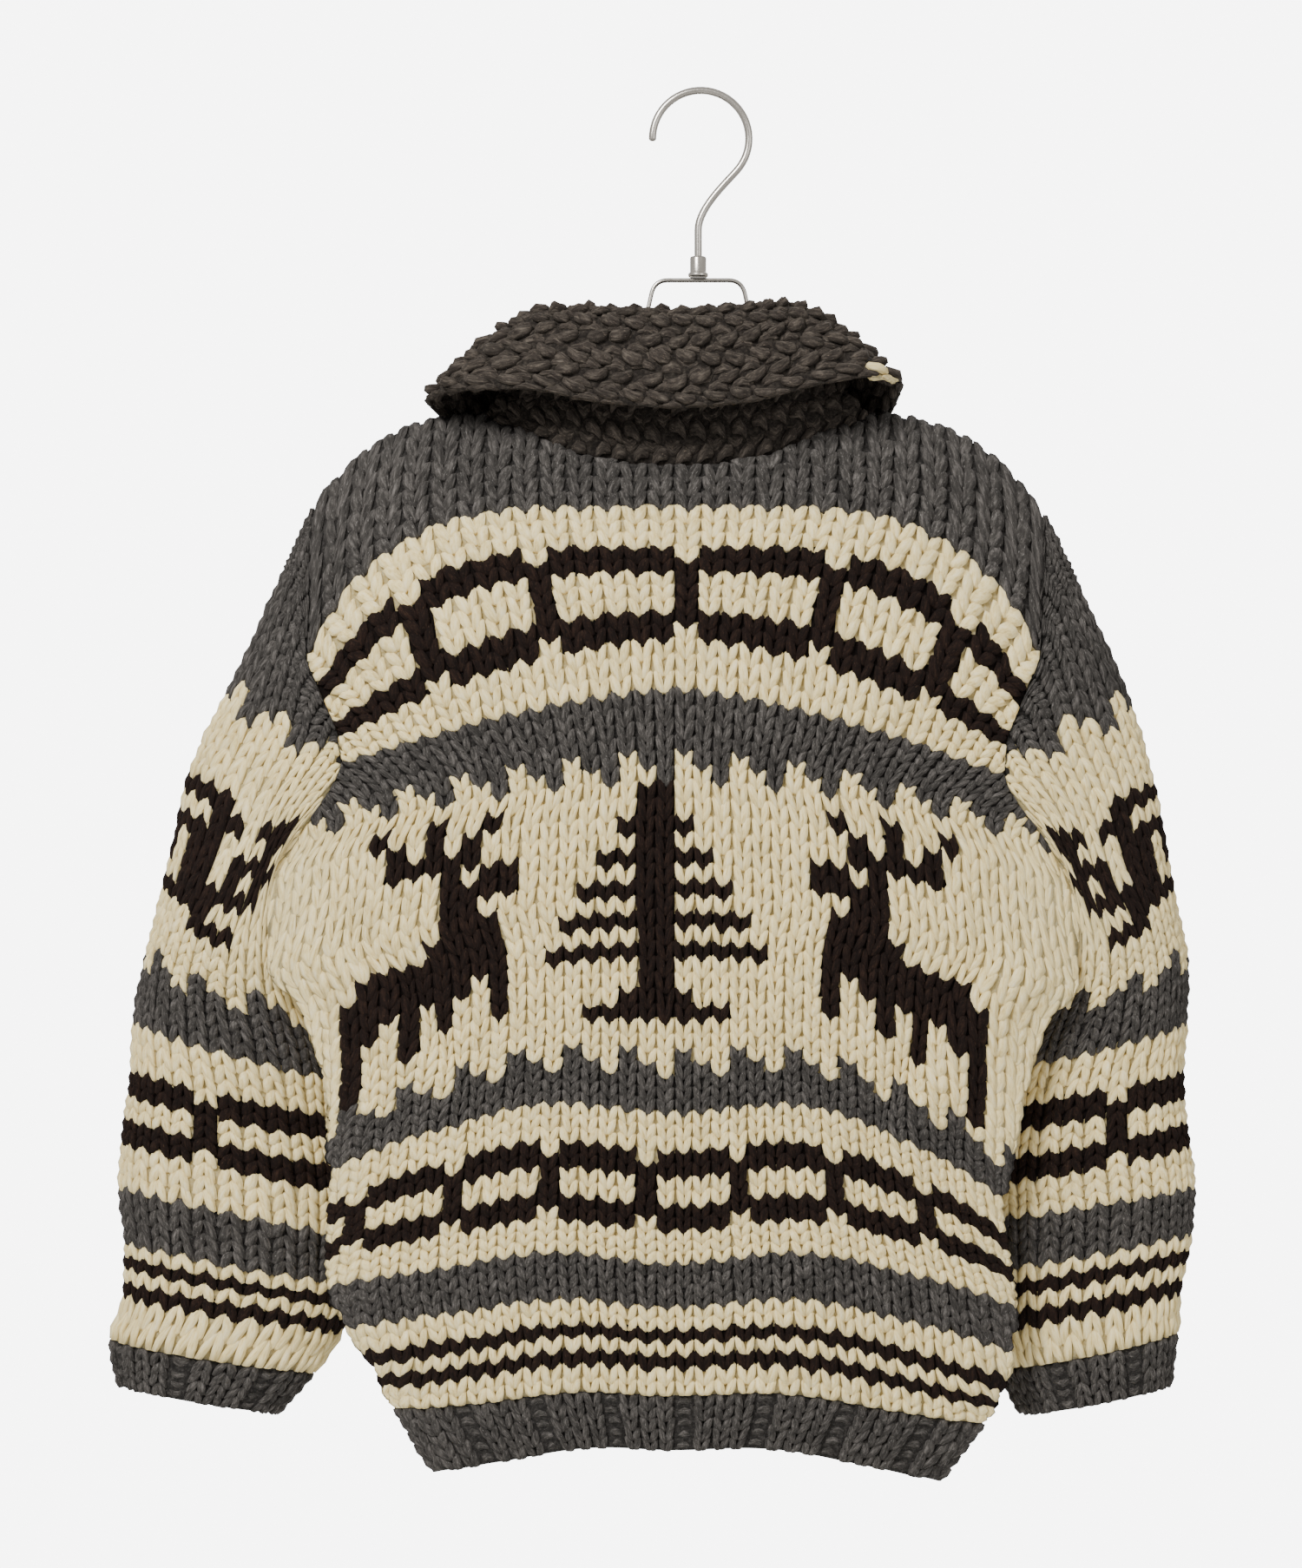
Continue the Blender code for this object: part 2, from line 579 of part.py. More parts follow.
def hook_route():
    """Three quarters of a circle, then an S down to the ferrule."""
    cx, cz = HOOK_CENTRE
    turn_end = -42.0
    points = []
    for step in range(25):
        angle = math.radians(180 + (turn_end - 180) * step / 24)
        points.append((cx + HOOK_RADIUS * math.cos(angle), cz + HOOK_RADIUS * math.sin(angle)))
    angle = math.radians(turn_end)
    start = np.array(points[-1])
    leave = np.array([math.sin(angle), -math.cos(angle)]) * 40
    foot = np.array([SHANK_X, cz - HOOK_RADIUS * 1.9])
    for step in range(1, 10):
        points.append(tuple(hermite(start, foot, leave, np.array([0.0, -42.0]), step / 9)))
    points.append((SHANK_X, FERRULE_TOP + SEAM_GAP / MM))
    return points


def frame_route():
    """The closed wire: neck loop, two arms and the bar between their ends."""
    half = [(SHANK_X + x, z, bend) for x, z, bend in FRAME_CORNERS]
    other = [(2 * SHANK_X - x, z, bend) for x, z, bend in reversed(half)]
    corners = half + other
    points = []
    for index, (x, z, bend) in enumerate(corners):
        here = np.array([x, z])
        before = unit(np.array(corners[index - 1][:2]) - here)
        after = unit(np.array(corners[(index + 1) % len(corners)][:2]) - here)
        for step in range(6):
            t = step / 5
            start = here + before * bend
            end = here + after * bend
            points.append(tuple(start * (1 - t) ** 2 + here * 2 * t * (1 - t) + end * t ** 2))
    return points


def ferrule(name, finish):
    """A turned sleeve with a lip at its foot."""
    profile = (
        # radius, z
        (FERRULE_RADIUS * 0.85, FERRULE_TOP),
        (FERRULE_RADIUS, FERRULE_TOP - 1.2),
        (FERRULE_RADIUS, FERRULE_TOP - FERRULE_LENGTH + 3.4),
        (FERRULE_RADIUS * 1.22, FERRULE_TOP - FERRULE_LENGTH + 2.6),
        (FERRULE_RADIUS * 1.22, FERRULE_TOP - FERRULE_LENGTH + 0.8),
        (FERRULE_RADIUS * 1.05, FERRULE_TOP - FERRULE_LENGTH),
    )
    bm = bmesh.new()
    verts = [bm.verts.new((radius * MM, 0, z * MM)) for radius, z in profile]
    edges = [bm.edges.new(pair) for pair in zip(verts, verts[1:])]
    bmesh.ops.spin(bm, geom=verts + edges, cent=(0, 0, 0), axis=(0, 0, 1), angle=2 * math.pi,
                   steps=20, use_merge=True)
    bmesh.ops.holes_fill(bm, edges=[e for e in bm.edges if e.is_boundary])
    bmesh.ops.recalc_face_normals(bm, faces=bm.faces)
    bmesh.ops.translate(bm, verts=bm.verts, vec=(SHANK_X * MM, 0, 0))
    mesh = bpy.data.meshes.new(name)
    bm.to_mesh(mesh)
    bm.free()
    return add_object(name, mesh, finish)


def build_hanger(steel):
    """Hook, ferrule and wire frame."""
    wire("hanger_hook", steel, hook_route(), HOOK_WIRE)
    ferrule("hanger_ferrule", steel)
    wire("hanger_frame", steel, frame_route(), FRAME_WIRE, cyclic=True)


def main():
    """Clear the scene and build every piece."""
    for old in list(bpy.data.objects):
        bpy.data.objects.remove(old, do_unlink=True)
    wool = {
        "pattern": material("cream wool", (0.66, 0.60, 0.46), 0.95),
        "grey": material("grey wool", (0.10, 0.09, 0.088), 0.95),
        "brown": material("brown-grey wool", (0.09, 0.075, 0.06), 0.95),
    }
    steel = material("satin steel", (0.62, 0.60, 0.57), 0.3, 1.0)
    build_body(wool)
    build_sleeves(wool)
    build_collar(wool)
    build_hanger(steel)


main()
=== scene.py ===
"""Looks of a bulky hand-knit wool cardigan on a wire hanger.

Every panel is a thin cloth with its stitches laid over it one by one: each stitch is two plump legs
of yarn, coloured from a knitting chart. The welt and cuffs are ribbed and the collar and front bands
are garter stitch. The hanger is plated steel wire.
"""
from __future__ import annotations

import logging
import math
from dataclasses import dataclass, field
from enum import Enum
from typing import Callable, Iterable, Sequence

import bmesh
import bpy
import numpy as np
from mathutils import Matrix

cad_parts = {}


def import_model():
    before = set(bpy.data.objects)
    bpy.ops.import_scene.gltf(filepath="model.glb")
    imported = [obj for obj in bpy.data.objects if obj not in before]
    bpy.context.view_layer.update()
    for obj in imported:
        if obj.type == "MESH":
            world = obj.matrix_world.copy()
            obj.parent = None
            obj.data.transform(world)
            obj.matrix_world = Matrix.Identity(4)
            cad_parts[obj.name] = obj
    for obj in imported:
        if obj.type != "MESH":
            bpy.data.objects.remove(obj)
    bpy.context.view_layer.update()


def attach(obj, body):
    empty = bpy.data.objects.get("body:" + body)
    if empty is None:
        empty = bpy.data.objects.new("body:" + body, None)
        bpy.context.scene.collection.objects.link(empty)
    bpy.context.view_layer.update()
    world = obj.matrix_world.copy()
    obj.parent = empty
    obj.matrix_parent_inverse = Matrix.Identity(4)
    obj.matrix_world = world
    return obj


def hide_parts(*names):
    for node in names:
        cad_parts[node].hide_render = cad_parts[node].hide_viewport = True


LOG = logging.getLogger("cardigan")
MM = 0.001
Array = np.ndarray


# ------------------------------------------------------------------ small maths
def smooth_step(t: Array) -> Array:
    """Ease from 0 to 1."""
    t = np.clip(t, 0.0, 1.0)
    return t * t * (3 - 2 * t)


def unit(vectors: Array) -> Array:
    """Scale vectors to length 1."""
    return vectors / np.maximum(np.linalg.norm(vectors, axis=-1, keepdims=True), 1e-9)


def blend(a: Array, b: Array, share: Array) -> Array:
    """Mix two sets of vectors."""
    return a * (1 - share[..., None]) + b * share[..., None]


def hermite(a: Array, b: Array, leave: Array, arrive: Array, t: Array) -> Array:
    """Cubic curve from a to b with the given end directions."""
    return ((2 * t ** 3 - 3 * t ** 2 + 1) * a + (t ** 3 - 2 * t ** 2 + t) * leave
            + (3 * t ** 2 - 2 * t ** 3) * b + (t ** 3 - t ** 2) * arrive)


def linear(hex_colour: str) -> tuple[float, float, float, float]:
    """Turn an sRGB hex colour into the linear one that a shader takes.

    Args:
        hex_colour: the colour as #rrggbb.

    Returns:
        Red, green, blue and alpha.
    """
    parts = [int(hex_colour[i:i + 2], 16) / 255 for i in (1, 3, 5)]
    red, green, blue = [p / 12.92 if p <= 0.04045 else ((p + 0.055) / 1.055) ** 2.4 for p in parts]
    return red, green, blue, 1.0


@dataclass(frozen=True)
class Table:
    """Measurements along one direction, read on smooth curves that never overshoot."""

    rows: tuple[tuple[float, ...], ...]

    def column(self, index: int, at: Array) -> Array:
        """Read one column.

        Args:
            index: column number; column 0 is the place along the table.
            at: places to read.

        Returns:
            The column's values there.
        """
        grid = np.array(self.rows, float)
        xs, ys = grid[:, 0], grid[:, index]
        slopes = self._slopes(xs, ys)
        at = np.clip(np.asarray(at, float), xs[0], xs[-1])
        left = np.clip(np.searchsorted(xs, at, side="right") - 1, 0, len(xs) - 2)
        span = xs[left + 1] - xs[left]
        t = (at - xs[left]) / span
        rise = ys[left + 1] - ys[left]
        low = (slopes[left] * span - rise) * (1 - t)
        high = (slopes[left + 1] * span - rise) * t
        return ys[left] + rise * t + t * (1 - t) * (low - high)

    @staticmethod
    def _slopes(xs: Array, ys: Array) -> Array:
        """Slope at each row, flat at a crest.

        Args:
            xs: places of the rows.
            ys: values there.

        Returns:
            The slopes.
        """
        run = np.diff(ys) / np.diff(xs)
        before = np.concatenate([run[:1], run])
        after = np.concatenate([run, run[-1:]])
        same_way = before * after > 0
        total = np.where(same_way, before + after, 1.0)
        return np.where(same_way, 2 * before * after / total, 0.0)


# ------------------------------------------------------------------ the garment's form
class Side(Enum):
    """Which panel of the body."""

    BACK = "back"
    FRONT = "front"


@dataclass(frozen=True)
class Form:
    """The cardigan's own form, in knitted rows and mm.

    It is the form of the solid pieces, drawn up to 14 mm closer under the arms, where the sleeves
    lie against the body.
    """

    wall: float = 7.0
    pit_wall: float = 1.2
    pit_reach: float = 60.0
    seam_gap: float = 0.3
    hem_rows: float = 5.0
    pit_row: float = 48.0
    shoulder_row: float = 76.0
    back_neck_row: float = 72.0
    front_neck_row: float = 58.0
    neck_reach: float = 0.54
    band_reach: float = 0.115
    cap_rows: float = 34.0
    pit_cap_row: float = 24.0
    cuff_top_row: float = 60.0
    sleeve_rows: float = 64.0
    centre_x: float = -20.0
    stand_share: float = 0.52
    body_rows: Table = Table((
        # row, mid_z, left_x, left_z, right_x, right_z, arch
        (0, -892, -176, -912, 153, -918, 2.4),
        (5, -856, -201, -870, 180, -880, 2.2),
        (8.5, -824, -212, -844, 189, -861, 2.6),
        (12, -798, -232, -816, 199, -833, 3.4),
        (16, -769, -242, -789, 200, -803, 3.8),
        (19, -748, -243, -771, 197, -785, 4.0),
        (25, -696, -243, -736, 194, -756, 3.8),
        (28, -671, -243, -713, 193, -733, 3.4),
        (33, -630, -242, -678, 198, -700, 2.9),
        (40, -560, -258, -612, 217, -623, 2.1),
        (43.5, -525, -284, -577, 242, -588, 2.0),
        (48, -479, -288, -522, 247, -531, 1.9),
        (50, -456, -267, -495, 226, -500, 1.8),
        (53, -427, -247, -465, 206, -473, 1.6),
        (56, -396, -237, -444, 195, -452, 1.5),
        (59, -364, -239, -428, 196, -434, 1.8),
        (66, -304, -253, -394, 210, -397, 4.2),
        (69, -278, -260, -374, 219, -372, 4.8),
        (76, -214, -257, -279, 223, -284, 6.0),
    ))
    body_depths: Table = Table((
        # row, back_y, front_y, back_side_y, front_side_y
        (0, -44, 38, -14, -14),
        (5, -50, 43, -16, -16),
        (12, -56, 50, -19, -19),
        (25, -58, 52, -21, -21),
        (33, -58, 52, -23, -23),
        (44, -60, 52, -25, -25),
        (48, -60, 52, -26, -26),
        (53, -60, 52, -36, 4),
        (59, -58, 50, -40, 20),
        (66, -52, 44, -38, 24),
        (69, -47, 40, -32, 22),
        (73, -32, 27, -16, 13),
        (76, -1, 1, 0, 0),
    ))
    waves: Table = Table(((0, 3), (8, 5), (16, 8), (28, 7), (36, 2), (42, 0), (76, 0)))
    left_rings: Table = Table((
        # row, out_x, out_z, mid_x, mid_z, in_x, in_z, half_y, out_y, in_y
        (8, -286, -350, -270, -400, -330, -500, 34, 2, -10),
        (15, -318, -416, -272, -452, -331, -508, 34, 4, -10),
        (21, -342, -463, -296, -500, -330, -522, 35, 8, -8),
        (25, -350, -500, -308, -534, -316, -545, 35, 11, -2),
        (29, -358, -538, -320, -570, -286, -582, 34, 15, 11),
        (34, -368, -581, -323, -602, -258, -622, 33, 19, 31),
        (38, -375, -618, -320, -636, -250, -655, 32, 22, 38),
        (41, -377, -650, -316, -665, -249, -681, 31, 24, 43),
        (47, -383, -698, -315, -715, -241, -733, 31, 26, 47),
        (50, -385, -727, -315, -744, -239, -761, 31, 26, 47),
        (54, -381, -764, -314, -779, -240, -793, 30, 26, 46),
        (58, -382, -801, -319, -812, -249, -824, 28, 25, 43),
        (60, -391, -829, -332, -840, -266, -850, 27, 25, 41),
        (64, -385, -859, -341, -868, -291, -877, 24, 25, 38),
    ))
    right_rings: Table = Table((
        # row, out_x, out_z, mid_x, mid_z, in_x, in_z, half_y, out_y, in_y
        (8, 256, -358, 228, -400, 289, -508, 34, 2, -10),
        (15, 286, -424, 232, -456, 290, -516, 34, 4, -10),
        (21, 298, -469, 254, -504, 289, -530, 35, 8, -8),
        (25, 304, -503, 262, -536, 275, -553, 35, 11, -2),
        (29, 310, -539, 274, -570, 245, -588, 34, 15, 11),
        (34, 317, -581, 272, -601, 216, -621, 33, 19, 31),
        (38, 316, -618, 267, -633, 205, -648, 32, 22, 38),
        (41, 314, -650, 261, -662, 202, -674, 31, 24, 43),
        (47, 319, -701, 260, -714, 195, -727, 31, 26, 47),
        (50, 322, -727, 262, -738, 195, -750, 31, 26, 47),
        (54, 320, -758, 261, -771, 195, -784, 30, 26, 46),
        (58, 312, -798, 258, -811, 197, -824, 28, 25, 43),
        (60, 311, -824, 261, -837, 204, -849, 27, 25, 41),
        (64, 307, -859, 266, -869, 218, -879, 24, 25, 38),
    ))
    collar_left: Table = Table((
        # along, roll_x, roll_y, roll_z, fall_x, fall_y, fall_z
        (0.00, 0, -40, -153, 0, -72, -216),
        (0.14, 42, -39, -151, 46, -72, -212),
        (0.28, 74, -32, -150, 98, -68, -203),
        (0.38, 92, -18, -155, 137, -50, -203),
        (0.47, 99, 0, -163, 154, -20, -208),
        (0.58, 94, 20, -181, 146, 24, -217),
        (0.72, 76, 38, -228, 120, 58, -264),
        (0.86, 48, 52, -290, 84, 72, -318),
        (1.00, 18, 60, -350, 38, 72, -366),
    ))
    collar_right: Table = Table((
        (0.00, 0, -40, -153, 0, -72, -216),
        (0.14, 42, -39, -150, 48, -72, -212),
        (0.28, 74, -32, -147, 98, -68, -200),
        (0.38, 90, -18, -152, 134, -50, -194),
        (0.47, 97, 0, -161, 152, -18, -199),
        (0.58, 94, 20, -180, 146, 24, -215),
        (0.72, 76, 38, -228, 122, 60, -262),
        (0.86, 48, 52, -290, 84, 72, -318),
        (1.00, 18, 60, -350, 38, 72, -366),
    ))
    folds: tuple[tuple, ...] = (
        # side, across0, row0, across1, row1, lift_mm, spread
        ("back", -0.93, 46, -0.66, 30, 9.0, 0.075),
        ("back", -0.78, 44, -0.50, 22, -5.0, 0.060),
        ("back", 0.92, 46, 0.68, 26, 9.5, 0.080),
        ("back", 0.76, 42, 0.54, 18, -5.5, 0.065),
        ("back", -0.36, 26, -0.40, 4, 5.0, 0.100),
        ("back", 0.02, 27, 0.03, 6, -5.5, 0.085),
        ("back", 0.40, 28, 0.36, 3, 5.5, 0.110),
        ("back", -0.84, 66, -0.62, 58, 4.0, 0.070),
        ("back", 0.86, 65, 0.60, 57, 4.5, 0.075),
        ("front", -0.90, 45, -0.58, 28, 8.0, 0.080),
        ("front", 0.93, 45, 0.63, 24, 8.5, 0.075),
        ("front", -0.44, 30, -0.48, 6, 5.0, 0.110),
        ("front", 0.52, 27, 0.46, 4, 5.0, 0.100),
        ("front", 0.80, 62, 0.55, 54, 3.5, 0.080),
    )

    # ---------------------------------------------------------------- body
    def body_point(self, side: Side, across: Array, row: Array) -> Array:
        """Inner face of a body panel.

        Args:
            side: back or front.
            across: place from -1 at the left side seam to 1 at the right one.
            row: knitted row up from the hem.

        Returns:
            Points in metres.
        """
        across, row = np.broadcast_arrays(np.asarray(across, float), np.asarray(row, float))
        reach = np.abs(across)
        left = across < 0
        mid_z = self.body_rows.column(1, row)
        edge_x = np.where(left, self.body_rows.column(2, row), self.body_rows.column(4, row))
        edge_z = np.where(left, self.body_rows.column(3, row), self.body_rows.column(5, row))
        if side is Side.FRONT:
            plain = np.where(left, *[self._straight_armhole(column, row) for column in (2, 4)])
            edge_x = np.where(row > self.pit_row, plain, edge_x)
        x = self.centre_x + (edge_x - self.centre_x) * reach
        z = mid_z + (edge_z - mid_z) * reach ** self.body_rows.column(6, row)
        wave = 0.5 - 0.5 * np.cos(2 * np.pi * np.clip(reach / 0.72, 0, 1))
        z = z + self.waves.column(1, row) * wave
        mid_column, edge_column, out = (1, 3, -1.0) if side is Side.BACK else (2, 4, 1.0)
        mid_y = self.body_depths.column(mid_column, row)
        edge_y = self.body_depths.column(edge_column, row)
        y = edge_y + (mid_y - edge_y) * (1 - reach ** 2.6)
        y = y + out * (self._fold(side, across, row) + self.seam_gap)
        return np.stack([x, y, z], axis=-1) * MM

    def _straight_armhole(self, column: int, row: Array) -> Array:
        """Side of a front above the underarm: straight up to the shoulder.

        Args:
            column: column of body_rows with the side.
            row: knitted row up from the hem.

        Returns:
            Its x, mm.
        """
        share = smooth_step((row - self.pit_row) / (self.shoulder_row - self.pit_row))
        pit = self.body_rows.column(column, np.array(self.pit_row))
        tip = self.body_rows.column(column, np.array(self.shoulder_row))
        return pit + (tip - pit) * share

    def _fold(self, side: Side, across: Array, row: Array) -> Array:
        """Lift of all folds at a place on the body, mm.

        Args:
            side: back or front.
            across: place from -1 at the left side seam to 1 at the right one.
            row: knitted row up from the hem.

        Returns:
            The lift outward, mm.
        """
        lift = np.zeros_like(across)
        for name, across0, row0, across1, row1, height, spread in self.folds:
            if name == side.value:
                share = np.clip((row - row0) / (row1 - row0), -0.2, 1.2)
                line = across0 + (across1 - across0) * share
                fade = np.sin(np.pi * np.clip((share + 0.2) / 1.4, 0, 1))
                lift = lift + height * fade * np.exp(-((across - line) / spread) ** 2)
        return lift * (1 - smooth_step((np.abs(across) - 0.9) / 0.1))

    def neck_row(self, side: Side, across: Array) -> Array:
        """Top row of a panel: the shoulder seam, cut down to the neckline in the middle.

        Args:
            side: back or front.
            across: place from -1 at the left side seam to 1 at the right one.

        Returns:
            The row.
        """
        low = self.back_neck_row if side is Side.BACK else self.front_neck_row
        power = 2.2 if side is Side.BACK else 1.15
        share = np.clip(np.abs(across) / self.neck_reach, 0, 1) ** power
        return low + (self.shoulder_row - low) * share

    def body_out(self, side: Side, across: Array, row: Array) -> Array:
        """Outward direction on a body panel, shared with its neighbour at the seams.

        Args:
            side: back or front.
            across: place from -1 at the left side seam to 1 at the right one.
            row: knitted row up from the hem.

        Returns:
            Unit vectors.
        """
        step = 0.02
        inner = np.clip(across, -1 + step, 1 - step)
        ahead = self.body_point(side, inner + step, row) - self.body_point(side, inner - step, row)
        low = np.clip(row, 0.3, self.shoulder_row - 0.3)
        up = self.body_point(side, inner, low + 0.3) - self.body_point(side, inner, low - 0.3)
        turn = 1.0 if side is Side.BACK else -1.0
        normal = unit(np.cross(ahead, up)) * turn
        armhole = np.clip((row - self.pit_row) / 5, 0, 1)
        armhole = armhole * np.clip((self.shoulder_row - row) / 4, 0, 1)
        facing = np.broadcast_to(np.array([0.0, -turn, 0.0]), normal.shape)
        edge = unit(blend(self._seam_out(row, across < 0), facing, 0.85 * armhole))
        share = smooth_step((np.abs(across) - 0.86) / 0.14)
        normal = unit(blend(normal, edge, share))
        top = smooth_step((row - (self.shoulder_row - 3.5)) / 3.5)
        crown = unit(np.stack([edge[..., 0] * share, 0 * share, np.ones_like(share)], axis=-1))
        return unit(blend(normal, crown, top))

    def _seam_out(self, row: Array, left: Array) -> Array:
        """Outward direction along the side seam and the armhole.

        Args:
            row: knitted row up from the hem.
            left: True on the left side.

        Returns:
            Unit vectors.
        """
        stops = (0, self.pit_row - 6, self.pit_row, self.pit_row + 4, self.shoulder_row)
        sideways = np.where(left, -1.0, 1.0) * np.interp(row, stops, (1, 1, 0.15, 1, 1))
        up = np.interp(row, stops, (0, 0, -1, 0, 1.6))
        return unit(np.stack([sideways, np.zeros_like(up), up], axis=-1))

    # ---------------------------------------------------------------- sleeves
    def _sleeve_parts(self, left: bool, turn: Array, row: Array) -> tuple[Array, Array, Array, Array]:
        """Point on a sleeve's inner face, the ring's share in it and its place on the armhole.

        Args:
            left: True for the left sleeve.
            turn: place round it: 0 the outer fold, 0.5 the back, 1 the inner fold.
            row: knitted row down from the shoulder.

        Returns:
            Points in metres, the ring's share, the armhole's row and the angle round.
        """
        rings = self.left_rings if left else self.right_rings
        turn, row = np.broadcast_arrays(np.asarray(turn, float), np.asarray(row, float))
        angle = np.pi * turn
        along = (1 - np.cos(angle)) / 2
        behind_side = np.sin(angle) >= 0
        bulge = 4 * along * (1 - along) * behind_side
        out_x, out_z, mid_x, mid_z, in_x, in_z = [rings.column(c, row) for c in range(1, 7)]
        x = out_x * (1 - along) + in_x * along + (mid_x - (out_x + in_x) / 2) * bulge
        z = out_z * (1 - along) + in_z * along + (mid_z - (out_z + in_z) / 2) * bulge
        middle = rings.column(8, row) * (1 - along) + rings.column(9, row) * along
        y = middle - rings.column(7, row) * np.sign(np.sin(angle)) * np.abs(np.sin(angle)) ** 0.8
        ring = np.stack([x, y, z], axis=-1) * MM
        edge = np.full_like(along, -1.0 if left else 1.0)
        seam_row = self.shoulder_row + (self.pit_row - self.shoulder_row) * along
        behind = self.body_point(Side.BACK, edge, seam_row)
        before = self.body_point(Side.FRONT, edge, seam_row)
        seam = np.where(behind_side[..., None], behind, before)
        start = self.cap_start(turn)
        done = np.clip((row - start) / (self.cap_rows - start), 0, 1)
        share = 1 - (1 - done) ** (3.0 - 1.6 * along)
        return blend(seam, ring, share), share, seam_row, angle

    def cap_start(self, turn: Array) -> Array:
        """Sleeve row of the armhole seam, round the ring."""
        along = (1 - np.cos(np.pi * np.asarray(turn, float))) / 2
        return self.pit_cap_row * along ** 1.1

    def sleeve_point(self, left: bool, turn: Array, row: Array) -> Array:
        """Inner face of a sleeve; turn 0 is the outer fold, 0.5 the back, 1 the inner fold."""
        return self._sleeve_parts(left, turn, row)[0]

    def sleeve_out(self, left: bool, turn: Array, row: Array) -> Array:
        """Outward direction on a sleeve, starting as the armhole's own.

        Args:
            left: True for the left sleeve.
            turn: place round it: 0 the outer fold, 0.5 the back, 1 the inner fold.
            row: knitted row down from the shoulder.

        Returns:
            Unit vectors.
        """
        rings = self.left_rings if left else self.right_rings
        point, share, seam_row, angle = self._sleeve_parts(left, turn, row)
        middle = [(rings.column(a, row) + rings.column(b, row)) / 2 for a, b in ((1, 5), (8, 9), (2, 6))]
        flatness = np.array([1.0, 3.5, 1.0])
        radial = unit((point - np.stack(middle, axis=-1) * MM) * flatness)
        step = 0.02
        low = np.clip(row, self.cap_start(turn) + 0.8, self.sleeve_rows - 0.4)
        round_way = self.sleeve_point(left, turn + step, low) - self.sleeve_point(left, turn - step, low)
        down = self.sleeve_point(left, turn, low + 0.4) - self.sleeve_point(left, turn, low - 0.4)
        square = unit(np.cross(down, round_way)) * (1.0 if left else -1.0)
        along = (1 - np.cos(angle)) / 2
        inner_side = smooth_step((along - 0.4) / 0.3) * smooth_step((self.cap_rows + 6 - row) / 8)
        normal = unit(blend(square, radial, inner_side))
        edge = np.full_like(seam_row, -1.0 if left else 1.0)
        behind = self.body_out(Side.BACK, edge, seam_row)
        before = self.body_out(Side.FRONT, edge, seam_row)
        shared = np.where((np.sin(angle) >= 0)[..., None], behind, before)
        return unit(blend(shared, normal, smooth_step(share / 0.3)))

    # ---------------------------------------------------------------- collar
    def _collar_seam(self, along: Array) -> Array:
        """The neckline that the collar is sewn to: back, shoulder, then down the fronts.

        Args:
            along: place from -1 at the left front band through 0 at the middle of the back to 1.

        Returns:
            Points in metres.
        """
        sign = np.where(along < 0, -1.0, 1.0)
        reach = np.abs(along)
        back_across = sign * self.neck_reach * np.clip(reach / 0.5, 0, 1)
        behind = self.body_point(Side.BACK, back_across, self.neck_row(Side.BACK, back_across))
        share = np.clip((reach - 0.5) / 0.5, 0, 1)
        front_across = sign * (self.neck_reach + (self.band_reach * 0.5 - self.neck_reach) * share)
        before = self.body_point(Side.FRONT, front_across, self.neck_row(Side.FRONT, front_across))
        return np.where((reach < 0.5)[..., None], behind, before)

    def collar_point(self, along: Array, width: Array) -> Array:
        """Inner face of the collar, up the stand, over the roll and down the fall.

        Args:
            along: place from -1 at the left front band through 0 at the middle of the back to 1.
            width: 0 at the neck seam to 1 at the fall's edge.

        Returns:
            Points in metres.
        """
        along, width = np.broadcast_arrays(np.asarray(along, float), np.asarray(width, float))
        sign = np.where(along < 0, -1.0, 1.0)
        reach = np.abs(along)
        guide = [np.where(along < 0, self.collar_left.column(c, reach), self.collar_right.column(c, reach))
                 for c in range(1, 7)]
        lean = np.where(along < 0, 1.04, 0.97)
        roll = np.stack([self.centre_x + sign * guide[0] * lean, guide[1], guide[2]], axis=-1) * MM
        fall = np.stack([self.centre_x + sign * guide[3] * lean, guide[4], guide[5]], axis=-1) * MM
        seam = self._collar_seam(along)
        out = (fall - roll) * np.array([1.0, 1.0, 0.0])
        out = unit(out)
        rise = np.linalg.norm(roll - seam, axis=-1, keepdims=True)
        drop = np.linalg.norm(fall - roll, axis=-1, keepdims=True)
        upward = unit(roll - seam + np.array([0, 0, 0.03]))
        t = np.clip(width / self.stand_share, 0, 1)[..., None]
        stand = hermite(seam, roll, upward * rise, out * 0.045, t)
        t = np.clip((width - self.stand_share) / (1 - self.stand_share), 0, 1)[..., None]
        end = unit(fall - roll - np.array([0, 0, 0.03]))
        over = hermite(roll, fall, out * 0.045 * np.minimum(drop / 0.07, 1), end * drop * 0.8, t)
        return np.where((width < self.stand_share)[..., None], stand, over)

    def collar_out(self, along: Array, width: Array) -> Array:
        """Outward direction on the collar: inside of the neck on the stand, outside on the fall.

        Args:
            along: place from -1 at the left front band through 0 at the middle of the back to 1.
            width: 0 at the neck seam to 1 at the fall's edge.

        Returns:
            Unit vectors.
        """
        step = 0.006
        inner = np.clip(along, -1 + step, 1 - step)
        low = np.clip(width, step, 1 - step)
        ahead = self.collar_point(inner + step, low) - self.collar_point(inner - step, low)
        up = self.collar_point(inner, low + step) - self.collar_point(inner, low - step)
        return unit(np.cross(up, ahead))

    # ---------------------------------------------------------------- wall
    def wall_at(self, spots: Array) -> Array:
        """Thickness of the knit, metres, drawn thin where the underarm seams meet.

        Args:
            spots: points in metres.

        Returns:
            The thickness, metres.
        """
        thickness = np.full(spots.shape[:-1], self.wall)
        for across in (-1.0, 1.0):
            pit = self.body_point(Side.BACK, np.array(across), np.array(self.pit_row))
            away = np.linalg.norm(spots - pit, axis=-1) / (self.pit_reach * MM)
            thickness = thickness - (self.wall - self.pit_wall) * np.exp(-away ** 2)
        return thickness * MM


# ------------------------------------------------------------------ charts
class Wool(Enum):
    """The wools, in the order of every knitted piece's materials."""

    CREAM = 0
    GREY = 1
    BROWN = 2
    COLLAR = 3


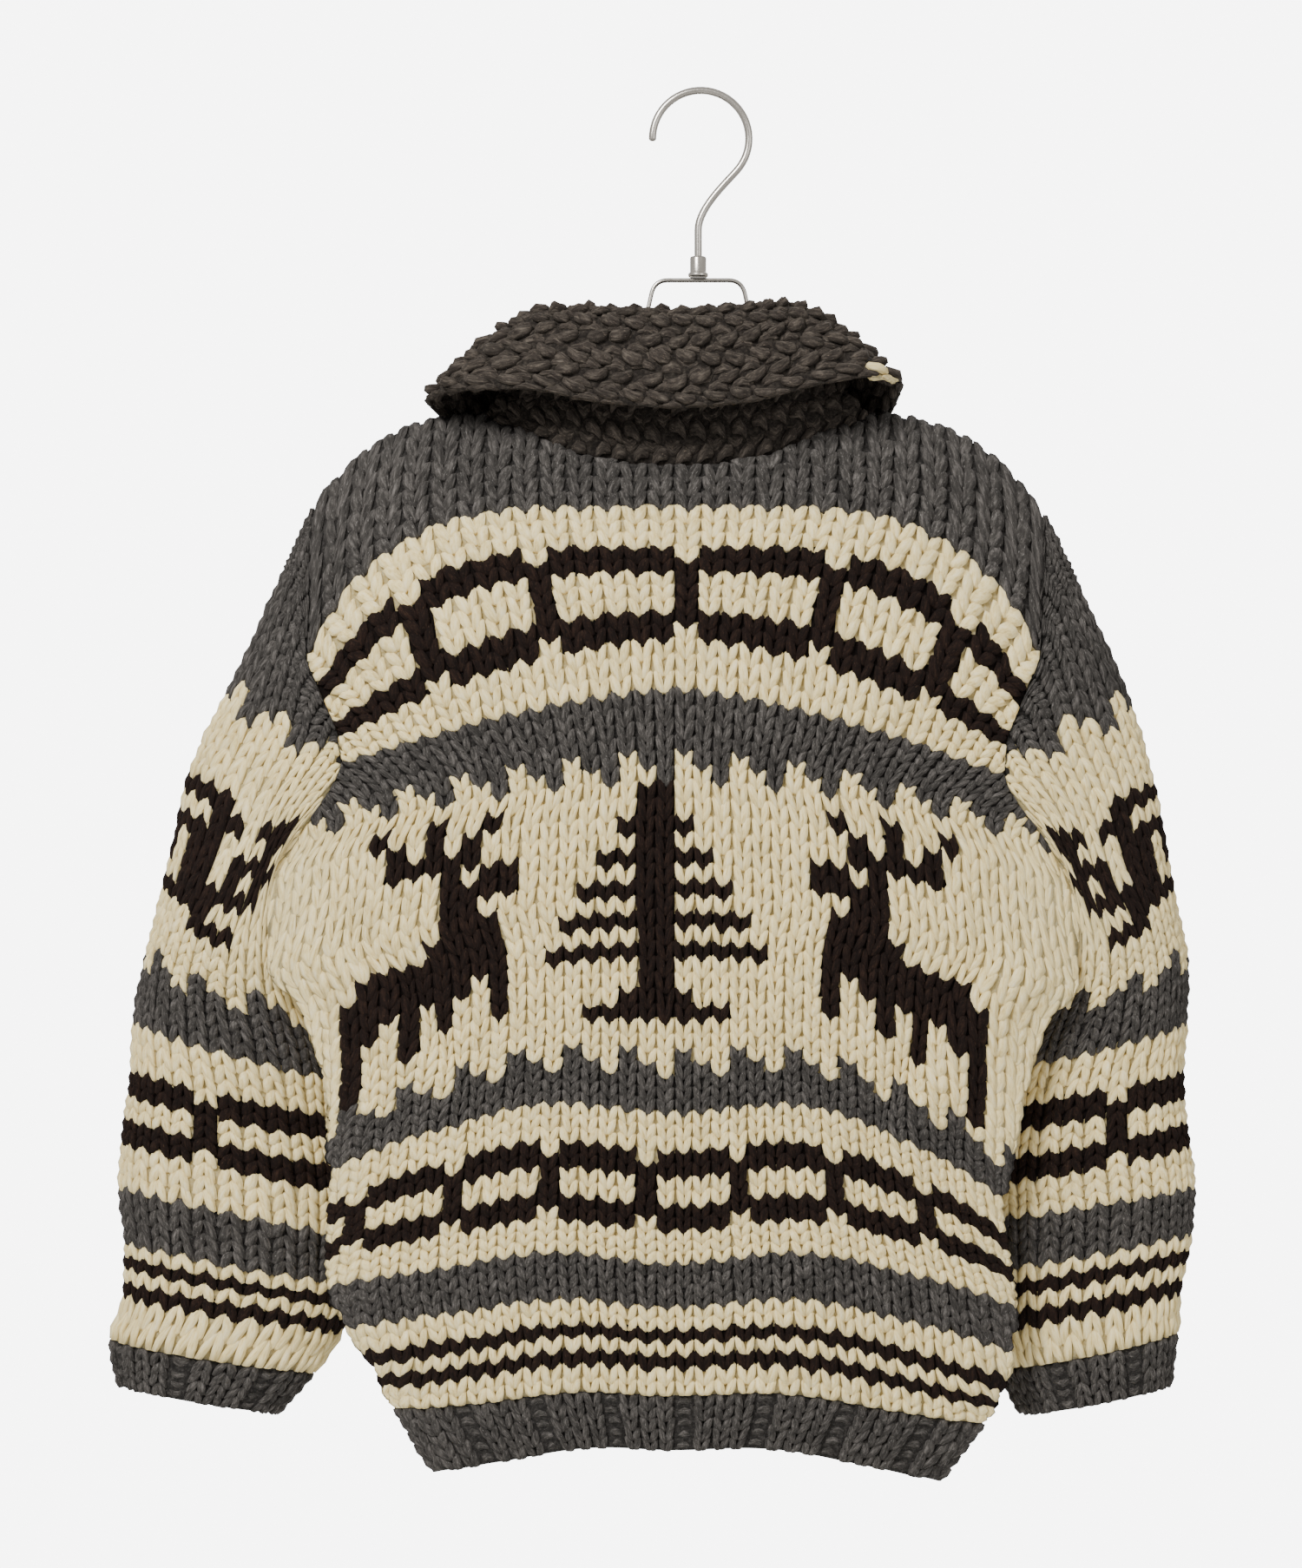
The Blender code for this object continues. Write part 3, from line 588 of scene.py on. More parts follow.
class Stitch(Enum):
    """How a cell of a chart is knitted."""

    KNIT = 0
    PURL = 1
    GARTER = 2


TOOTH = 3   # columns in one tooth of a grey band's edge


def bands(row: Array, spans: Iterable[tuple[int, int]]) -> Array:
    """Rows that lie in any of several plain bands."""
    return np.any([(row >= first) & (row < last) for first, last in spans], axis=0)


@dataclass(frozen=True)
class BodyChart:
    """Chart of the back and the fronts, in columns from the middle and rows from the hem."""

    grey_bands: tuple[tuple[int, int], ...] = ((0, 5), (12, 16), (69, 99))   # first row, row above
    lower_teeth: tuple[int, int] = (28, 33)   # grey with teeth along its top
    upper_teeth: tuple[int, int] = (52, 56)   # grey with teeth along its foot
    stripes: tuple[int, int] = (7, 9)
    lower_chain: int = 19
    yoke_chain: int = 59
    yoke_bars: tuple[int, ...] = (-16, -11, -6, 0, 6, 11, 16)
    deer: tuple[str, ...] = (
        "..#..#..#..",
        "...#.#.#...",
        "...#####...",
        "......#.##.",
        "......####.",
        "......##...",
        "......###..",
        ".....####..",
        ".########..",
        "#########..",
        "#######.#..",
        "##.#.#..#..",
        "#..#.#..#..",
        "#..#.......",
        "#..........",
        "#..........",
    )
    deer_foot: int = 33
    tree: tuple[int, ...] = (2, 2, 4, 2, 6, 2, 8, 2, 10, 2, 12, 2, 2, 4, 8)
    tree_top: int = 49
    counts: Table = Table((
        (0, 30), (5, 30), (12, 34), (25, 36), (33, 37), (41, 40), (48, 43), (56, 32), (60, 30),
        (66, 28), (72, 27), (76, 27),
    ))

    def count(self, row: Array) -> Array:
        """Stitches across the whole back at a row."""
        return self.counts.column(1, row)

    def wool(self, column: Array, row: Array, front: bool = False) -> Array:
        """Wool of each cell.

        Args:
            column: whole columns from the middle.
            row: whole rows from the hem.
            front: True on the fronts, where one deer stands each side of the opening.

        Returns:
            Values of Wool.
        """
        found = np.full(column.shape, Wool.CREAM.value)
        tooth = column % TOOTH
        grey = bands(row, self.grey_bands)
        grey |= (row >= self.lower_teeth[0]) & (row < self.lower_teeth[1] - tooth)
        grey |= (row >= self.upper_teeth[0] - tooth) & (row < self.upper_teeth[1])
        found[grey] = Wool.GREY.value
        dark = np.isin(row, self.stripes)
        dark |= links(column, row, self.lower_chain, 2, column % 5 == 3)
        dark |= links(column, row, self.yoke_chain, 3, np.isin(column, self.yoke_bars))
        dark |= self._figures(column, row, front)
        found[dark] = Wool.BROWN.value
        return found

    def _figures(self, column: Array, row: Array, front: bool) -> Array:
        """The deer, and on the back the tree between them.

        Args:
            column: whole columns from the middle.
            row: whole rows from the hem.
            front: True on the fronts.

        Returns:
            True for a cell of a figure.
        """
        deer = np.array([[mark == "#" for mark in line] for line in self.deer])[::-1]
        tall, wide = deer.shape
        up = row - self.deer_foot
        starts = ((-13, 1), (3, -1)) if front else ((-18, 1), (6, -1))
        shown = np.zeros(column.shape, bool)
        for start, way in starts:
            step = column - start
            step = step if way > 0 else wide - 1 - step
            inside = (up >= 0) & (up < tall) & (step >= 0) & (step < wide)
            shown |= inside & deer[np.clip(up, 0, tall - 1), np.clip(step, 0, wide - 1)]
        if not front:
            down = self.tree_top - row
            half = np.array(self.tree)[np.clip(down, 0, len(self.tree) - 1)] // 2
            inside = (down >= 0) & (down < len(self.tree))
            shown |= inside & (column >= -1 - half) & (column < -1 + half)
        return shown


@dataclass(frozen=True)
class SleeveChart:
    """Chart of a sleeve, in columns round from the outer fold and rows from the shoulder.

    The right sleeve is knitted from it in mirror.
    """

    shoulder_grey: int = 15
    teeth: tuple[int, int] = (34, 38)
    grey_bands: tuple[tuple[int, int], ...] = ((50, 54), (60, 99))   # first row, row below
    stripes: tuple[int, int] = (55, 57)
    chain: tuple[int, int] = (41, 46)
    columns: int = 26
    fret: tuple[str, ...] = (
        ".........####",
        "....###.##...",
        "....##...####",
        ".....###.##.#",
        "....##.#.##.#",
        ".....######..",
        "........#####",
        "......###....",
    )
    fret_top: int = 21

    def wool(self, column: Array, row: Array) -> Array:
        """Wool of each cell.

        Args:
            column: whole columns round from the outer fold.
            row: whole rows down from the shoulder.

        Returns:
            Values of Wool.
        """
        found = np.full(column.shape, Wool.CREAM.value)
        tooth = column % TOOTH
        grey = bands(row, self.grey_bands) | (row < self.shoulder_grey + tooth)
        grey |= (row >= self.teeth[0] - tooth) & (row < self.teeth[1])
        found[grey] = Wool.GREY.value
        dark = np.isin(row, self.stripes)
        dark |= links(column, self.chain[1] - row + self.chain[0], self.chain[0], 2, column % 6 == 2)
        marks = np.array([[mark == "#" for mark in line] for line in self.fret])
        down = row - self.fret_top
        inside = (down >= 0) & (down < len(marks))
        dark |= inside & marks[np.clip(down, 0, len(marks) - 1), column % marks.shape[1]]
        found[dark] = Wool.BROWN.value
        return found


def links(column: Array, row: Array, low: int, inner: int, bar: Array) -> Array:
    """Cells of a chain of round-cornered links.

    Args:
        column: whole columns.
        row: whole rows.
        low: first row of the chain.
        inner: rows of field inside each link.
        bar: columns where two links meet.

    Returns:
        True for a cell of the chain.
    """
    top = low + 3 + inner
    rail = ((row >= low) & (row < low + 2)) | ((row > top - 2) & (row <= top))
    corner = bar & ((row == low) | (row == top))
    middle = bar & (row >= low + 2) & (row <= top - 2)
    return (rail & ~corner) | middle


# ------------------------------------------------------------------ finishes
def add_node(tree: bpy.types.NodeTree, kind: str, settings: dict[str, object] | None = None,
             inputs: dict[str | int, object] | None = None) -> bpy.types.Node:
    """Add a shader node.

    Args:
        tree: the material's node tree.
        kind: the node's type name.
        settings: its properties.
        inputs: its inputs by name or number, each a value or a socket to link from.

    Returns:
        The node.
    """
    made = tree.nodes.new(kind)
    for name, value in (settings or {}).items():
        setattr(made, name, value)
    for name, value in (inputs or {}).items():
        if isinstance(value, bpy.types.NodeSocket):
            tree.links.new(value, made.inputs[name])
        else:
            made.inputs[name].default_value = value
    return made


def ramp(tree: bpy.types.NodeTree, factor: bpy.types.NodeSocket,
         stops: Sequence[tuple[float, str]]) -> bpy.types.NodeSocket:
    """Colour a factor through stops of (place, hex colour).

    Args:
        tree: the node tree.
        factor: the socket to colour, 0 to 1.
        stops: places along the ramp and their colours.

    Returns:
        The colour socket.
    """
    made = add_node(tree, "ShaderNodeValToRGB", inputs={0: factor})
    band = made.color_ramp
    while len(band.elements) < len(stops):
        band.elements.new(0.5)
    for element, (place, colour) in zip(band.elements, stops):
        element.position = place
        element.color = linear(colour)
    return made.outputs["Color"]


def new_material(name: str) -> tuple[bpy.types.Material, bpy.types.NodeTree, bpy.types.Node]:
    """Start a material and give its tree and its Principled shader.

    Args:
        name: the material's name.

    Returns:
        The material, its tree and its shader.
    """
    made = bpy.data.materials.new(name)
    made.use_nodes = True
    return made, made.node_tree, made.node_tree.nodes["Principled BSDF"]


@dataclass(frozen=True)
class HandspunWool:
    """Bulky, barely twisted wool: streaks of fibre along the yarn and a soft hairy surface."""

    name: str
    shade: str
    middle: str
    light: str
    tone_spread: float = 0.16
    flecks: str = ""

    def build(self, cloth: bool = False) -> bpy.types.Material:
        """Make the material.

        Args:
            cloth: True for the ground behind the stitches, which has no yarn direction and is darkened as
                painted shade in the gaps between them.

        Returns:
            The material.
        """
        suffix = "ground" if cloth else "yarn"
        made, tree, shader = new_material(f"{self.name}_{suffix}")
        place = add_node(tree, "ShaderNodeTexCoord")
        tone = add_node(tree, "ShaderNodeAttribute", {"attribute_name": "tone"}).outputs["Fac"]
        if cloth:
            along = place.outputs["Object"]
            streak_scale, bump_scale = 420.0, 900.0
        else:
            # the yarn's own map: fibres run long along it and a little round it, as it is spun
            shift = add_node(tree, "ShaderNodeCombineXYZ", inputs={0: tone, 1: tone, 2: tone})
            shift = add_node(tree, "ShaderNodeVectorMath", {"operation": "SCALE"},
                             {0: shift.outputs[0], "Scale": 57.0})
            spin = add_node(tree, "ShaderNodeMapping", inputs={
                "Vector": place.outputs["UV"], "Rotation": (0, 0, 0.32), "Scale": (7.0, 1.5, 1.0)})
            along = add_node(tree, "ShaderNodeVectorMath", {"operation": "ADD"},
                             {0: spin.outputs[0], 1: shift.outputs[0]}).outputs[0]
            streak_scale, bump_scale = 1.6, 2.4
        streaks = add_node(tree, "ShaderNodeTexNoise", inputs={
            "Vector": along, "Scale": streak_scale, "Detail": 5.0, "Roughness": 0.62})
        colour = ramp(tree, streaks.outputs["Fac"],
                      ((0.28, self.shade), (0.50, self.middle), (0.74, self.light)))
        if self.flecks:
            hairs = add_node(tree, "ShaderNodeTexNoise", inputs={
                "Vector": along, "Scale": streak_scale * 3.1, "Detail": 3.0, "Roughness": 0.7})
            mask = add_node(tree, "ShaderNodeMapRange", inputs={
                0: hairs.outputs["Fac"], 1: 0.60, 2: 0.72, 3: 0.0, 4: 0.75})
            colour = add_node(tree, "ShaderNodeMix", {"data_type": "RGBA"}, {
                0: mask.outputs[0], 6: colour, 7: linear(self.flecks)}).outputs[2]
        # each stitch is a little lighter or darker, as the hand takes up the yarn
        span = add_node(tree, "ShaderNodeMapRange", inputs={
            0: tone, 1: 0.0, 2: 1.0, 3: 1.0 - self.tone_spread, 4: 1.0 + self.tone_spread * 0.6})
        # the ground behind the stitches is darkened to 0.55 of the wool: painted shade in the gaps between
        # them
        factor = 0.55 if cloth else 1.0
        span = add_node(tree, "ShaderNodeMath", {"operation": "MULTIPLY"}, {0: span.outputs[0], 1: factor})
        colour = add_node(tree, "ShaderNodeVectorMath", {"operation": "SCALE"},
                          {0: colour, "Scale": span.outputs[0]}).outputs[0]
        tree.links.new(colour, shader.inputs["Base Color"])
        fine = add_node(tree, "ShaderNodeTexNoise", inputs={
            "Vector": along, "Scale": bump_scale, "Detail": 6.0, "Roughness": 0.7})
        fuzz = add_node(tree, "ShaderNodeTexNoise", inputs={
            "Vector": place.outputs["Object"], "Scale": 1500.0, "Detail": 2.0, "Roughness": 0.6})
        height = add_node(tree, "ShaderNodeMath", {"operation": "MULTIPLY_ADD"}, {
            0: fuzz.outputs["Fac"], 1: 0.45, 2: fine.outputs["Fac"]})
        bump = add_node(tree, "ShaderNodeBump", inputs={
            "Height": height.outputs[0], "Strength": 0.75, "Distance": 0.0011})
        tree.links.new(bump.outputs[0], shader.inputs["Normal"])
        shader.inputs["Roughness"].default_value = 0.94
        shader.inputs["Specular IOR Level"].default_value = 0.18
        shader.inputs["Sheen Weight"].default_value = 0.30
        shader.inputs["Sheen Roughness"].default_value = 0.55
        shader.inputs["Sheen Tint"].default_value = linear(self.light)
        return made


@dataclass(frozen=True)
class SatinNickel:
    """Nickel-plated steel wire: a soft satin gloss with fine draw marks."""

    colour: str = "#c3beb6"
    roughness: float = 0.24

    def build(self) -> bpy.types.Material:
        """Make the material."""
        made, tree, shader = new_material("satin_nickel")
        place = add_node(tree, "ShaderNodeTexCoord")
        cloud = add_node(tree, "ShaderNodeTexNoise", inputs={
            "Vector": place.outputs["Object"], "Scale": 90.0, "Detail": 4.0})
        colour = ramp(tree, cloud.outputs["Fac"], ((0.3, "#b4aea5"), (0.7, self.colour)))
        tree.links.new(colour, shader.inputs["Base Color"])
        marks = add_node(tree, "ShaderNodeTexNoise", inputs={
            "Vector": place.outputs["Object"], "Scale": 900.0, "Detail": 3.0, "Roughness": 0.7})
        rough = add_node(tree, "ShaderNodeMapRange", inputs={
            0: marks.outputs["Fac"], 1: 0.3, 2: 0.7, 3: self.roughness - 0.05, 4: self.roughness + 0.10})
        tree.links.new(rough.outputs[0], shader.inputs["Roughness"])
        bump = add_node(tree, "ShaderNodeBump", inputs={
            "Height": marks.outputs["Fac"], "Strength": 0.08, "Distance": 0.0001})
        tree.links.new(bump.outputs[0], shader.inputs["Normal"])
        shader.inputs["Metallic"].default_value = 1.0
        return made


# ------------------------------------------------------------------ yarn
@dataclass(frozen=True)
class Strand:
    """One leg of a stitch inside its cell: three points of its middle line and its half sizes.

    Points are (across the cell, up the cell, mm out of the knit). broad is the half width in
    cells and high the half height in mm; flat_way is True when the leg lies along its row.
    """

    start: tuple[float, float, float]
    middle: tuple[float, float, float]
    end: tuple[float, float, float]
    broad: float
    high: float
    flat_way: bool = False


STRANDS: dict[Stitch, tuple[Strand, ...]] = {
    Stitch.KNIT: (
        Strand((0.43, -0.40, -1.2), (0.265, 0.42, 0.8), (0.155, 1.28, -1.2), 0.240, 2.8),
        Strand((0.57, -0.40, -1.2), (0.735, 0.42, 0.8), (0.845, 1.28, -1.2), 0.240, 2.8),
    ),
    Stitch.PURL: (
        Strand((0.05, 0.30, -2.4), (0.50, 0.62, -1.0), (0.95, 0.30, -2.4), 0.36, 2.0, True),
    ),
    Stitch.GARTER: (
        Strand((-0.02, 0.08, -1.2), (0.40, 0.52, 2.6), (0.88, 0.44, -1.2), 0.32, 3.6, True),
        Strand((0.44, 1.06, -2.2), (0.88, 0.78, -0.6), (1.32, 1.08, -2.2), 0.22, 2.6, True),
    ),
}


class YarnLeg:
    """The plump leg of yarn that is copied for every stitch."""

    def __init__(self, round_steps: int = 6, long_steps: int = 4) -> None:
        """Take the leg's points, faces and map from a sphere.

        Args:
            round_steps: facets round the yarn.
            long_steps: facets along it.
        """
        bm = bmesh.new()
        bmesh.ops.create_uvsphere(bm, u_segments=round_steps, v_segments=long_steps, radius=1.0)
        bmesh.ops.triangulate(bm, faces=bm.faces)
        bm.verts.ensure_lookup_table()
        ball = np.array([v.co[:] for v in bm.verts])
        self.faces = np.array([[v.index for v in f.verts] for f in bm.faces])
        bm.free()
        self.along = (ball[:, 2] + 1) / 2
        girth = np.linalg.norm(ball[:, :2], axis=1)
        plump = np.where(girth > 1e-4, girth ** 0.45 / np.maximum(girth, 1e-4), 0.0)
        self.cross = ball[:, :2] * plump[:, None]
        angle = np.arctan2(ball[:, 1], ball[:, 0]) / (2 * np.pi)
        middle = ball[self.faces].mean(axis=1)
        centre = np.arctan2(middle[:, 1], middle[:, 0]) / (2 * np.pi)
        around = angle[self.faces] - centre[:, None]
        around = around - np.round(around) + centre[:, None]
        pole = girth[self.faces] < 1e-4
        around = np.where(pole, centre[:, None], around)
        self.uv = np.stack([around, self.along[self.faces]], axis=-1)


Place = Callable[[Array, Array], tuple[Array, Array]]


@dataclass
class Yarn:
    """All the legs of one knitted piece, gathered and then made into one mesh."""

    leg: YarnLeg
    rng: np.random.Generator
    points: list[Array] = field(default_factory=list)
    wools: list[Array] = field(default_factory=list)
    tones: list[Array] = field(default_factory=list)

    def lay(self, place: Place, column: Array, row: Array, wool: Array, kind: Stitch,
            lift: float = 4.1, face: float = 1.0) -> None:
        """Lay every leg of the cells of one kind.

        Args:
            place: gives points and outward directions for places in columns and rows.
            column: whole columns of the cells.
            row: whole rows of the cells.
            wool: values of Wool for the cells.
            kind: how they are knitted.
            lift: mm from the cloth's inner face to the middle of the yarn.
            face: 1 for the outer face, -1 for legs on the inner face.
        """
        cells = len(column)
        if not cells:
            return
        shared = self.rng.random(cells)
        for strand in STRANDS[kind]:
            jitter = self.rng.normal(0, 1, (cells, 6))
            tone = np.clip(0.65 * shared + 0.35 * self.rng.random(cells), 0, 1)
            s = self.leg.along[None, :]
            low, mid, high = (np.array(p)[None, :, None] for p in (strand.start, strand.middle, strand.end))
            curve = low * (1 - s) * (1 - 2 * s) + mid * 4 * s * (1 - s) + high * s * (2 * s - 1)
            curve = np.repeat(curve, cells, axis=0)
            size = 1 + 0.07 * jitter[:, 3]
            wide = strand.broad * size
            aside = self.leg.cross[None, :, 0] * wide[:, None]
            x = curve[:, 0] + (0 if strand.flat_way else aside)
            y = curve[:, 1] + (aside if strand.flat_way else 0)
            loose = 2.2 if kind is Stitch.GARTER else 1.0   # garter lies less evenly
            odd = (row % 2) * (kind is Stitch.GARTER)
            x = np.where(odd[:, None] == 1, 1.5 - x, x)     # and its ridges lean to and fro
            x = x + (0.030 * loose * jitter[:, 0] + column)[:, None]
            y = y + (0.045 * loose * jitter[:, 1] + row)[:, None]
            rise = strand.high * (1 + 0.08 * jitter[:, 4])
            h = curve[:, 2] + self.leg.cross[None, :, 1] * rise[:, None] + 0.25 * jitter[:, 2, None]
            spot, out = place(x, y)
            share = FORM.wall_at(spot)[..., None] / (FORM.wall * MM)
            self.points.append(spot + out * (lift + face * h)[..., None] * MM * share)
            self.wools.append(wool)
            self.tones.append(tone)

    def mesh(self, name: str) -> bpy.types.Mesh:
        """Join the legs in one mesh with their wools, tones and the yarn's own map.

        Args:
            name: the mesh's name.

        Returns:
            The mesh.
        """
        points = np.concatenate(self.points)
        count, per_leg = points.shape[:2]
        faces = (self.leg.faces[None] + (np.arange(count) * per_leg)[:, None, None]).reshape(-1, 3)
        triangles = len(faces)
        made = bpy.data.meshes.new(name)
        made.vertices.add(count * per_leg)
        made.vertices.foreach_set("co", points.astype(np.float32).ravel())
        made.loops.add(triangles * 3)
        made.loops.foreach_set("vertex_index", faces.astype(np.int32).ravel())
        made.polygons.add(triangles)
        made.polygons.foreach_set("loop_start", np.arange(0, triangles * 3, 3, dtype=np.int32))
        made.polygons.foreach_set("use_smooth", np.ones(triangles, bool))
        each = len(self.leg.faces)
        wool = np.repeat(np.concatenate(self.wools), each).astype(np.int32)
        made.polygons.foreach_set("material_index", wool)
        made.update(calc_edges=True)
        uv = made.uv_layers.new(name="yarn")
        uv.data.foreach_set("uv", np.tile(self.leg.uv.reshape(-1, 2), (count, 1)).astype(np.float32).ravel())
        tone = made.attributes.new("tone", "FLOAT", "POINT")
        tone.data.foreach_set("value", np.repeat(np.concatenate(self.tones), per_leg).astype(np.float32))
        made.validate()
        return made


def add_piece(name: str, mesh: bpy.types.Mesh, finishes: Iterable[bpy.types.Material]) -> bpy.types.Object:
    """Put a finished mesh in the scene, riding on the one body.

    Args:
        name: the object's name.
        mesh: its mesh.
        finishes: its materials, in the order of their indices.

    Returns:
        The object.
    """
    for finish in finishes:
        mesh.materials.append(finish)
    made = bpy.data.objects.new(name, mesh)
    bpy.context.scene.collection.objects.link(made)
    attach(made, "root")
    return made


FORM = Form()


# ------------------------------------------------------------------ knitted pieces
@dataclass
class KnittedPiece:
    """One piece of the maker's: its cloth, its stitches and how it was cut."""

    node: str
    slot: str
    cut: tuple[float, float]
    cut_area: float
    place: Place
    cells: tuple[Array, Array]
    wool_at: Callable[[Array, Array], Array]
    stitch_at: Callable[[Array, Array], Array]
    limits: Callable[[Array, Array], tuple[Array, Array]]
    grid: tuple[int, int]
    closed: bool = False
    both_faces: bool = False
    cloth_lift: float = 1.8       # mm from the inner face of the knit
    cloth_thickness: float = 1.6

    def build(self, shop: "Workroom") -> bpy.types.Object:
        """Args:
            shop: the leg of yarn, the finishes and the random numbers.

        Returns:
            The cloth's object.
        """
        cloth = add_piece(f"{self.node}_cloth", self._cloth_mesh(), shop.ground)
        yarn = Yarn(shop.leg, shop.rng)
        column, row = self.cells
        wool = self.wool_at(column, row)
        kinds = self.stitch_at(column, row)
        for kind in Stitch:
            chosen = kinds == kind.value
            if chosen.any():
                cells = column[chosen], row[chosen], wool[chosen]
                yarn.lay(self.place, *cells, kind)
                if self.both_faces:
                    yarn.lay(self.place, *cells, kind, lift=2.2, face=-1.0)
        stitches = add_piece(f"{self.node}_stitches", yarn.mesh(f"{self.node}_stitches"),
                             shop.yarns)
        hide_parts(self.node)
        LOG.info("%s: %d stitches, %d triangles", self.node, len(column), len(stitches.data.polygons))
        return cloth

    def _cloth_mesh(self) -> bpy.types.Mesh:
        """A thin closed cloth, coloured cell by cell, for the stitches to stand on; its ground finish paints
        shade into the gaps between them.

        Returns:
            The mesh.
        """
        bm = bmesh.new()
        bmesh.ops.create_grid(bm, x_segments=self.grid[0], y_segments=self.grid[1], size=0.5)
        bm.verts.ensure_lookup_table()
        flat = np.array([v.co[:2] for v in bm.verts]) + 0.5
        x, y = self.limits(flat[:, 0], flat[:, 1])
        spot, out = self.place(x, y)
        share = FORM.wall_at(spot)[..., None] / (FORM.wall * MM)
        inner = spot + out * share * self.cloth_lift * MM
        thick = out * share * self.cloth_thickness * MM
        number = bm.verts.layers.int.new("number")
        for index, vert in enumerate(bm.verts):
            vert.co = inner[index]
            vert[number] = index
        for face in bm.faces:
            ids = [v[number] for v in face.verts]
            column = np.floor(np.array([x[ids].mean()])).astype(int)
            row = np.floor(np.array([y[ids].mean()])).astype(int)
            face.material_index = int(self.wool_at(column, row)[0])
            face.smooth = True
        if self.closed:
            bmesh.ops.remove_doubles(bm, verts=bm.verts, dist=0.02 * MM)
        grown = bmesh.ops.extrude_face_region(bm, geom=list(bm.faces), use_keep_orig=True)
        for item in grown["geom"]:
            if isinstance(item, bmesh.types.BMVert):
                item.co = np.array(item.co) + thick[item[number]]
        bmesh.ops.recalc_face_normals(bm, faces=bm.faces)
        mesh = bpy.data.meshes.new(f"{self.node}_cloth")
        bm.to_mesh(mesh)
        bm.free()
        return mesh


@dataclass
class Workroom:
    """What every piece shares: the leg of yarn, the finishes and seeded random numbers."""

    leg: YarnLeg
    rng: np.random.Generator
    yarns: list[bpy.types.Material]
    ground: list[bpy.types.Material]


def cell_grid(first: tuple[int, int], last: tuple[int, int]) -> tuple[Array, Array]:
    """Whole columns and rows of a block of cells, each end included."""
    column, row = np.meshgrid(np.arange(first[0], last[0] + 1), np.arange(first[1], last[1] + 1))
    return column.ravel(), row.ravel()


RIB = 4   # every fourth stitch of a welt or cuff is purled


def rib_stitches(ribbed: bool) -> Callable[[Array, Array], Array]:
    """Stocking stitch, or the rib of a welt or cuff.

    Args:
        ribbed: True for the rib.

    Returns:
        A function of columns and rows that gives values of Stitch.
    """
    return lambda c, r: np.where(ribbed & (c % RIB == 0), Stitch.PURL.value, Stitch.KNIT.value)


def garter(column: Array, row: Array) -> Array:
    """Garter stitch in every cell."""
    return np.full(column.shape, Stitch.GARTER.value)


